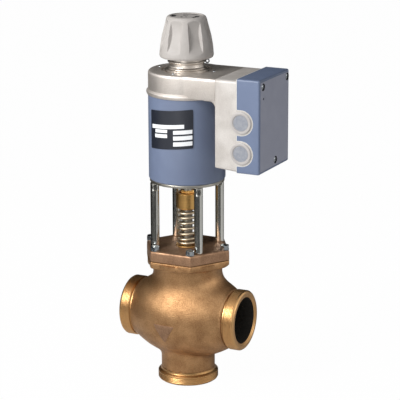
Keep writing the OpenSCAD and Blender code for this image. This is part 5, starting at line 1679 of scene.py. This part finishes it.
@dataclass
class TerminalHousing:
    """The light metal base at the arm's end, the blue cover on it, its screws, and the two cable plugs."""

    shop: Workshop
    repeats: Repeats
    base_x: Span = (46.5, 68.6)
    top_z: float = 312.5
    low_z: Span = (227.2, 225.4)
    half_w: float = 34.4
    wall: float = 3.0
    cover_x: Span = (69.0, 92.2)
    cover_z: Span = (224.3, 314.5)
    cover_r: float = 2.0
    entry_x: float = 73.4
    entry_z: Span = (243.5, 273.0)
    boss_r: float = 12.0
    boss_d: float = 5.5
    entry_r: float = 8.15
    plug_r: float = 10.7
    screws: tuple[Span, ...] = ((-25.8, 307.2), (29.6, 307.5), (3.1, 232.0))
    lamp: Span = (-25.1, 296.0)
    lamp_r: float = 1.25
    window_half_w: float = 23.6
    window_z: Span = (296.8, 307.0)
    hole_r: float = 2.3
    post_r: float = 4.5
    well_r: float = 3.7
    well_d: float = 5.4
    head_d: float = 2.2
    screw_tip_x: float = 57.0
    gap: float = 0.35

    @staticmethod
    def box_row(x: float, low: float, high: float, half: float, radii: Span, inset: float) -> Array:
        """One row of a box that runs along X, with round corners.

        Args:
            x: Its place.
            low: Lower edge.
            high: Upper edge.
            half: Half width.
            radii: Rounding of the lower and of the upper corners.
            inset: How far it lies in.

        Returns:
            The row.
        """
        out = []
        for y, z, r in ((-half, low, radii[0]), (half, low, radii[0]), (half, high, radii[1]),
                        (-half, high, radii[1])):
            sy, sz = (1 if y > 0 else -1), (1 if z > (low + high) / 2 else -1)
            start = {(-1, -1): 180, (1, -1): 270, (1, 1): 0, (-1, 1): 90}[(sy, sz)]
            q = max(r - inset, 0.02)
            for k in range(9):
                a = radians(start + 90 * k / 8)
                out.append((x, y - sy * (inset + q) + q * cos(a), z - sz * (inset + q) + q * sin(a)))
        return np.array(out)

    def base(self) -> Form:
        """The base's hollow box, open towards the cover.

        Returns:
            The box.
        """
        x0, x1 = self.base_x
        l0, l1 = self.low_z

        def row(x: float, inset: float) -> Array:
            """A row of the box at X."""
            t = (x - x0) / (x1 - x0)
            return self.box_row(x, l0 + (l1 - l0) * t, self.top_z, self.half_w, (2.0, 3.0), inset)
        return loft([row(x0, 0.9), row(x0, 0.35), row(x0 + 0.3, 0.1), row(x0 + 0.9, 0), row(x1 - 0.4, 0),
                     row(x1, 0.15), row(x1, self.wall), row(x0 + self.wall, self.wall)], ends=True)

    def entry_line(self, z: float, r: float, back: float) -> list[Span]:
        """The outline of a tongue that ends round towards the cover.

        Args:
            z: Level of the entry.
            r: Radius of the round end.
            back: Where it starts.

        Returns:
            Places along X and Z.
        """
        turns = np.linspace(0, pi, 33)
        end = [(self.entry_x + r * sin(a), z - r * cos(a)) for a in turns]
        return [(back, z - r), *end, (back, z + r)]

    def tongue(self, z: float, grow: float, deep: float, proud: float = 0.0) -> Form:
        """A block with a round end towards the cover, behind a cable entry.

        Args:
            z: Level of the entry.
            grow: How much larger than the boss it is.
            deep: Its depth into the front wall.
            proud: How far it stands before the front wall.

        Returns:
            The block.
        """
        r = self.boss_r + grow
        line = self.entry_line(z, r, self.base_x[1] - (0.0 if grow else 1.5))
        edge = 0.35 if proud or grow == 0 else 0.0
        mid, near, front = self.entry_x, self.entry_x - 4, -self.half_w - proud
        rows = []
        for y, inset in ((front, edge), (front + edge, 0.0), (-self.half_w + deep, 0.0)):
            k = 1 - inset / r
            rows.append(np.array([(mid + (x - mid) * k if x > near else x, y, z + (up - z) * k)
                                  for x, up in line]))
        return loft(rows, ends=True)

    def notches(self) -> list[Form]:
        """The cutters that leave room for both tongues."""
        return [self.tongue(z, self.gap, self.boss_d, 3.0) for z in self.entry_z]

    def seal_line(self, z: float) -> Form:
        """The seal's edge in the gap round an entry's tongue.

        Args:
            z: Height of the entry's axis.

        Returns:
            The seal's edge.
        """
        front, behind, low, high = -self.half_w - 0.1, -self.half_w + 2, 0.04, self.gap - 0.02
        rows = [np.array([(x, y, up) for x, up in self.entry_line(z, self.boss_r + grow, self.cover_x[0])])
                for y, grow in ((front, low), (front, high), (behind, high), (behind, low))]
        count = len(rows[0])
        points = np.vstack(rows)
        faces: list[tuple[int, ...]] = []
        for i in range(4):
            a, b = i * count, (i + 1) % 4 * count
            faces += [(a + k, a + k + 1, b + k + 1, b + k) for k in range(count - 1)]
        ends = [tuple(i * count for i in range(4)), tuple(i * count + count - 1 for i in range(3, -1, -1))]
        return Form(points, faces + ends)

    def drill(self, r: float, x: Span, y: float, z: float, sides: int = 40) -> Form:
        """A round cutter along X between two ends, about an axis at y and z."""
        rod = lathe([(0, x[0], 0), (r, x[0], 0), (r, x[1], 0), (0, x[1], 0)], sides=sides)
        return rod.turned(Axis.RIGHT).moved(0, y, z)

    def entry_drill(self, z: float) -> Form:
        """A round cutter through the front wall at a cable entry's level."""
        rod = lathe([(0, -12, 0), (self.entry_r, -12, 0), (self.entry_r, 4, 0), (0, 4, 0)], sides=64)
        return rod.turned(Axis.FRONT).moved(self.entry_x, -self.half_w, z)

    def cover(self) -> Form:
        """The cover's hollow box, open towards the base.

        Returns:
            The box.
        """
        x0, x1 = self.cover_x
        low, high = self.cover_z

        def row(x: float, inset: float) -> Array:
            """A row of the box at X."""
            return self.box_row(x, low, high, self.half_w, (self.cover_r, self.cover_r), inset)
        rows = [row(x0 + 20.7, 2.5), row(x0, 2.5), row(x0, 0.25), row(x0 + 0.25, 0)]
        for t in np.linspace(0, pi / 2, 7):
            rows.append(row(x1 - self.cover_r * (1 - sin(t)), self.cover_r * (1 - cos(t)) + 1e-4))
        rows += [row(x1, self.cover_r + 0.5)]
        return loft(rows, ends=True)

    def face(self) -> Form:
        """The thin grained skin of the cover's outer face, whose paler, greyer colour is painted reflection.

        Returns:
            The skin.
        """
        x1, edge = self.cover_x[1], 2.4
        low, high = self.cover_z
        return loft([self.box_row(x, low + edge, high - edge, self.half_w - edge, (1.0, 1.0), inset)
                     for x, inset in ((x1 - 0.02, 0.0), (x1 + 0.06, 0.06))], ends=True)

    def plug(self) -> Form:
        """A cable plug along Z, its face recessed inside a soft rim."""
        r = self.plug_r
        return lathe([(0, -5.5, 0), (8.05, -5.5, 0), (8.1, 0, 0), (r, 0, 0), (r, 0.9, 0.5),
                      (r - 0.9, 1.4, 0.6), (8.3, 1.4, 0.5), (7.6, 0.7, 0.4), (0, 0.7, 0)], sides=96)

    def membrane(self) -> Form:
        """The thin skin in a plug's mouth, slightly drawn in, along Z."""
        return lathe([(0, 0.6, 0), (7.55, 0.6, 0), (7.5, 0.9, 0), (6.6, 0.86, 0.5), (3, 0.76, 0),
                      (0, 0.74, 0)], sides=72)

    def screw(self) -> Form:
        """A pan head with a cross recess.

        Returns:
            The head, along X from its seat.
        """
        head = lathe([(0, 0, 0), (2.6, 0, 0), (2.75, 0.6, 0.3), (2.3, 1.7, 0.9), (1.2, 2.1, 0.6),
                      (0, 2.15, 0)], sides=40)
        slot = block((1.4, 3), (-0.28, 0.28), (-1.5, 1.5))
        made = cut(head.turned(Axis.RIGHT), [slot, Form(slot.points[:, [0, 2, 1]], slot.faces)])
        points = np.array([v.co[:] for v in made.vertices]) / MM
        return Form(points, [tuple(p.vertices) for p in made.polygons])

    def build_base(self) -> None:
        """Makes and dresses the base, its plugs and the seals."""
        shop = self.shop
        x0, x1 = self.base_x
        window = block((x0 - 1, x0 + 4), (-self.window_half_w, self.window_half_w), self.window_z)
        tongues = [self.tongue(z, 0.0, self.boss_d, 0.12) for z in self.entry_z]
        drills = [self.entry_drill(z) for z in self.entry_z]
        shop.piece("housing_base", cut(self.base(), [window] + drills, tongues), Look.LIGHT_CASTING,
                   "light_casting", replaces=["electronics_base"])
        for name, z in zip(("lower", "upper"), self.entry_z):
            shop.piece(f"{name}_entry_seal", self.seal_line(z), Look.LIGHT_SEAL, "light_seal")
            plug = self.plug().turned(Axis.FRONT).moved(self.entry_x, -self.half_w, z)
            shop.piece(f"{name}_plug", plug, Look.CLEAR_PLUG, "clear_plug", replaces=[f"{name}_cable_plug"])
            skin = self.membrane().turned(Axis.FRONT).moved(self.entry_x, -self.half_w, z)
            shop.piece(f"{name}_plug_membrane", skin, Look.MEMBRANE, "clear_plug")
        rows = ((x1, -0.1), (x1, 2.4), (self.cover_x[0], 2.4), (self.cover_x[0], -0.1))
        seal = loft([self.box_row(x, *self.cover_z, self.half_w, (2.0, 2.0), inset) for x, inset in rows],
                    ring=True)
        shop.piece("housing_seal", cut(seal, self.notches()), Look.LIGHT_SEAL, "light_seal",
                   replaces=["cover_seal"])

    def build_cover(self) -> None:
        """Makes and dresses the cover with its posts."""
        shop = self.shop
        x1 = self.base_x[1]
        c0, c1 = self.cover_x
        floor = c1 - self.well_d
        holes = [self.drill(self.hole_r, (c0 - 1, c1 + 1), y, z) for y, z in self.screws]
        wells = [self.drill(self.well_r, (floor, c1 + 1), y, z) for y, z in self.screws]
        lamp = self.drill(self.lamp_r, (c0 - 1, c1 + 1), *self.lamp, sides=24)
        cover = cut(self.cover(), [*self.notches(), *holes, *wells, lamp])
        shop.piece("blue_cover", cover, Look.BLUE_PLASTIC, "blue_plastic", replaces=["terminal_cover"])
        # The outer face's skin paints the reflection of the bright side as a paler colour.
        shop.piece("cover_face", cut(self.face(), wells + [lamp]), Look.COVER_FACE, "blue_plastic")
        bore, r, step = self.hole_r, self.post_r, self.well_r + 0.05
        post = lathe([(bore, x1, 0), (r, x1, 0), (r, c1 - 2.5, 0), (step, c1 - 2.5, 0), (step, floor, 0),
                      (bore, floor, 0)], True, 40).turned(Axis.RIGHT)
        # A near-black ring over the wall of each screw well, which darkens the well round the head.
        dark_ring = lathe([(3.3, floor + 0.1, 0), (3.68, floor + 0.1, 0), (3.68, c1 + 0.02, 0),
                        (3.4, c1 + 0.02, 0)], True, 40).turned(Axis.RIGHT)
        shop.piece("cover_posts", together(post.moved(0, y, z) for y, z in self.screws), Look.BLUE_PLASTIC,
                   "blue_plastic")
        shop.piece("screw_well_linings", together(dark_ring.moved(0, y, z) for y, z in self.screws),
                   Look.DARK_RECESS, "blue_plastic")

    def build_screws(self) -> None:
        """Makes and dresses the cover's screws."""
        shop = self.shop
        seat_x = self.cover_x[1] - self.head_d
        seats = [(seat_x, y, z) for y, z in self.screws]
        heads = self.repeats.set_at(self.screw(), seats, Look.ZINC, "screws")
        shop.piece("cover_screw_heads", heads, Look.ZINC, "zinc_plate", replaces=["cover_screws"])
        shanks = together(self.drill(2.0, (self.screw_tip_x, seat_x + 0.1), y, z, 24) for y, z in self.screws)
        shop.piece("cover_screw_shanks", shanks, Look.ZINC, "zinc_plate", replaces=["cover_screws"])

    def build(self) -> None:
        """Makes and dresses the housing."""
        self.build_base()
        self.build_cover()
        self.build_screws()
        shop = self.shop
        shop.dress(Look.ZINC, "base_screws")
        shop.dress(Look.BRASS, "board_standoffs")
        shop.dress(Look.BOARD, "circuit_board")
        shop.dress(Look.TERMINAL, "terminal_blocks")
        shop.dress(Look.LEAD, "coil_leads")
        foot, face, r = 61.5, self.cover_x[1], self.lamp_r - 0.05
        lens = lathe([(0, foot, 0), (r, foot, 0), (r, face + 0.1, 0.3), (r / 2, face + 0.35, 0.3),
                      (0, face + 0.4, 0)], sides=32).turned(Axis.RIGHT).moved(0, *self.lamp)
        shop.piece("status_lens", lens, Look.DARK_LENS, "dark_lens", replaces=["status_led"])


class Studio:
    """The camera at the photograph's place, the floor, the world and the lamps."""

    AZIMUTH, ELEVATION, ROLL = 26.173, 14.930, -0.218
    LENS = 170.885
    PLACE = (0.80102, -1.60198, 0.65989)
    AIM = (0, 0, 0.17)

    @staticmethod
    def sight(azimuth: float, elevation: float) -> tuple[Array, Array]:
        """The direction away from the valve at two angles in degrees, and the one to its right."""
        az, el = radians(azimuth), radians(elevation)
        return np.array((sin(az) * cos(el), -cos(az) * cos(el), sin(el))), np.array((cos(az), sin(az), 0.0))

    def camera(self) -> None:
        """Sets the camera at the place from which the photograph was taken."""
        out, right = self.sight(self.AZIMUTH, self.ELEVATION)
        up = np.cross(right, -out)
        roll = radians(self.ROLL)
        right, up = right * cos(roll) + up * sin(roll), up * cos(roll) - right * sin(roll)
        data = bpy.data.cameras.new("photo_camera")
        data.lens, data.sensor_width, data.clip_start, data.clip_end = self.LENS, 36.0, 0.05, 50.0
        camera = linked("photo_camera", data)
        turn = Matrix((right, up, out)).transposed().to_4x4()
        turn.translation = self.PLACE
        camera.matrix_world = turn
        bpy.context.scene.camera = camera

    def sheet(self, name: str, corners: Sequence[Vec]) -> Object:
        """A flat stage sheet.

        Args:
            name: Its name.
            corners: Its four corners, in metres.

        Returns:
            The sheet.
        """
        mesh = bpy.data.meshes.new(name)
        mesh.from_pydata([list(c) for c in corners], [], [(0, 1, 2, 3)])
        made = linked(name, mesh)
        return made

    @staticmethod
    def only_reflected(made: Object) -> None:
        """Hides a sheet from all but glossy rays."""
        made.visible_camera = made.visible_diffuse = made.visible_shadow = made.visible_transmission = False

    def facing(self, name: str, azimuth: float, elevation: float, far: float, wide: float, tall: float,
               look: Material) -> None:
        """A sheet that faces the valve, seen only in reflections.

        Args:
            name: Its name.
            azimuth: Angle round the stem, as the camera's.
            elevation: Angle over the floor.
            far: Distance from the valve.
            wide: Width.
            tall: Height.
            look: Its material.
        """
        out, right = self.sight(azimuth, elevation)
        up = np.cross(right, -out)
        mid = out * far + np.array(self.AIM)
        corners = [tuple(mid + right * wide / 2 * a + up * tall / 2 * b)
                   for a, b in ((-1, -1), (1, -1), (1, 1), (-1, 1))]
        made = self.sheet(name, corners)
        made.data.materials.append(look)
        self.only_reflected(made)

    def curtain(self, name: str, span: Span, far: float, tall: float, look: Material) -> None:
        """A standing sheet curved round the valve, seen only in reflections.

        Args:
            name: Its name.
            span: First and last angle round the stem, as the camera's.
            far: Its distance from the stem.
            tall: Its height over the floor.
            look: Its material.
        """
        angles = np.radians(np.linspace(span[0], span[1], 24))
        mesh = bpy.data.meshes.new(name)
        points = [(far * sin(a), -far * cos(a), z) for a in angles for z in (0.002, tall)]
        faces = [(i, i + 1, i + 3, i + 2) for i in range(0, len(points) - 2, 2)]
        mesh.from_pydata(points, [], faces)
        mesh.materials.append(look)
        made = linked(name, mesh)
        self.only_reflected(made)

    def lamp(self, name: str, azimuth: float, elevation: float, far: float, size: float,
             watts: float) -> None:
        """A soft square lamp.

        Args:
            name: Its name.
            azimuth: Angle round the stem, as the camera's.
            elevation: Angle over the floor.
            far: Distance from the valve.
            size: Side of the square.
            watts: Power.
        """
        out, right = self.sight(azimuth, elevation)
        data = bpy.data.lights.new(name, "AREA")
        data.shape, data.size, data.energy = "SQUARE", size, watts
        made = linked(name, data)
        turn = Matrix((right, np.cross(right, -out), out)).transposed().to_4x4()
        turn.translation = out * far + np.array(self.AIM)
        made.matrix_world = turn

    @staticmethod
    def plain(name: str, value: float) -> Material:
        """A dull grey stage material.

        Args:
            name: Its name.
            value: Its grey level.

        Returns:
            The material.
        """
        made = bpy.data.materials.new(name)
        made.use_nodes = True
        shader = made.node_tree.nodes["Principled BSDF"]
        for key, setting in (("Base Color", (value, value, value, 1)), ("Roughness", 1.0),
                             ("Specular IOR Level", 0.0)):
            shader.inputs[key].default_value = setting
        return made

    def floor(self) -> None:
        """A white floor that keeps the object's shadow and shows white beyond it."""
        made = self.sheet("floor", [(-30, -30, 0), (30, -30, 0), (30, 30, 0), (-30, 30, 0)])
        look = bpy.data.materials.new("white_floor")
        look.use_nodes = True
        look.node_tree.nodes.clear()
        tree = Tree(look.node_tree)
        rays = tree.add("ShaderNodeLightPath").outputs
        seen = tree.math("MAXIMUM", rays["Is Camera Ray"], rays["Is Transmission Ray"])
        paint = tree.add("ShaderNodeBsdfDiffuse", {"Color": (0.86, 0.86, 0.86, 1)})
        glow = tree.add("ShaderNodeEmission", {"Color": (1, 1, 1, 1), "Strength": 1.0})
        glow_share = 0.985
        share = tree.math("MULTIPLY", seen, glow_share)
        mix = tree.add("ShaderNodeMixShader", {0: share, 1: paint.outputs[0], 2: glow.outputs[0]})
        tree.add("ShaderNodeOutputMaterial", {"Surface": mix.outputs[0]})
        made.data.materials.append(look)

    def world(self, level: float) -> None:
        """A pale world, white where the camera, gloss or glass sees it.

        Args:
            level: Strength of the light that it gives elsewhere.
        """
        made = bpy.data.worlds.new("pale_world")
        made.use_nodes = True
        made.node_tree.nodes.clear()
        tree = Tree(made.node_tree)
        rays = tree.add("ShaderNodeLightPath").outputs
        first = tree.math("MAXIMUM", rays["Is Camera Ray"], rays["Is Glossy Ray"])
        seen = tree.math("MAXIMUM", first, rays["Is Transmission Ray"])
        strength = tree.add("ShaderNodeMapRange", {0: seen, 3: level, 4: 1.0})
        sky = tree.add("ShaderNodeBackground", {"Color": (1, 1, 1, 1), "Strength": strength.outputs[0]})
        tree.add("ShaderNodeOutputWorld", {"Surface": sky.outputs[0]})
        bpy.context.scene.world = made

    def build(self) -> None:
        """Sets the camera, the floor, the world, the lamps and the reflected boards."""
        self.camera()
        self.floor()
        self.world(0.22)
        self.lamp("key", azimuth=-26, elevation=34, far=1.5, size=0.6, watts=22)
        self.lamp("front", azimuth=4, elevation=8, far=1.9, size=0.9, watts=5)
        self.lamp("rim", azimuth=96, elevation=16, far=1.9, size=0.6, watts=4)
        dark = self.plain("dark_board", 0.02)
        grey = self.plain("grey_board", 0.13)
        for first, last, tall, look in ((-150, -60, 0.36, dark), (-60, 60, 0.128, grey),
                                        (150, 178, 0.36, dark)):
            self.curtain(f"curtain_{first + 150}", (first, last), 0.42, tall, look)
        self.facing("board_behind", 206, elevation=24, far=0.9, wide=1.8, tall=1.1, look=dark)
        self.facing("board_above", 206, elevation=68, far=1.0, wide=1.5, tall=0.8, look=dark)
        bpy.context.scene.view_settings.view_transform = "Standard"


def main() -> None:
    """Builds the studio and each sub-assembly in order."""
    logging.basicConfig(level=logging.INFO, format="%(name)s: %(message)s")
    Studio().build()
    shop = Workshop()
    repeats = Repeats(shop)
    for part in (CastBody(shop, repeats), StemAndSpring(shop, repeats), Magnet(shop, repeats),
                 HandDrive(shop, repeats), TerminalHousing(shop, repeats)):
        part.build()


if __name__ == "__main__":
    main()
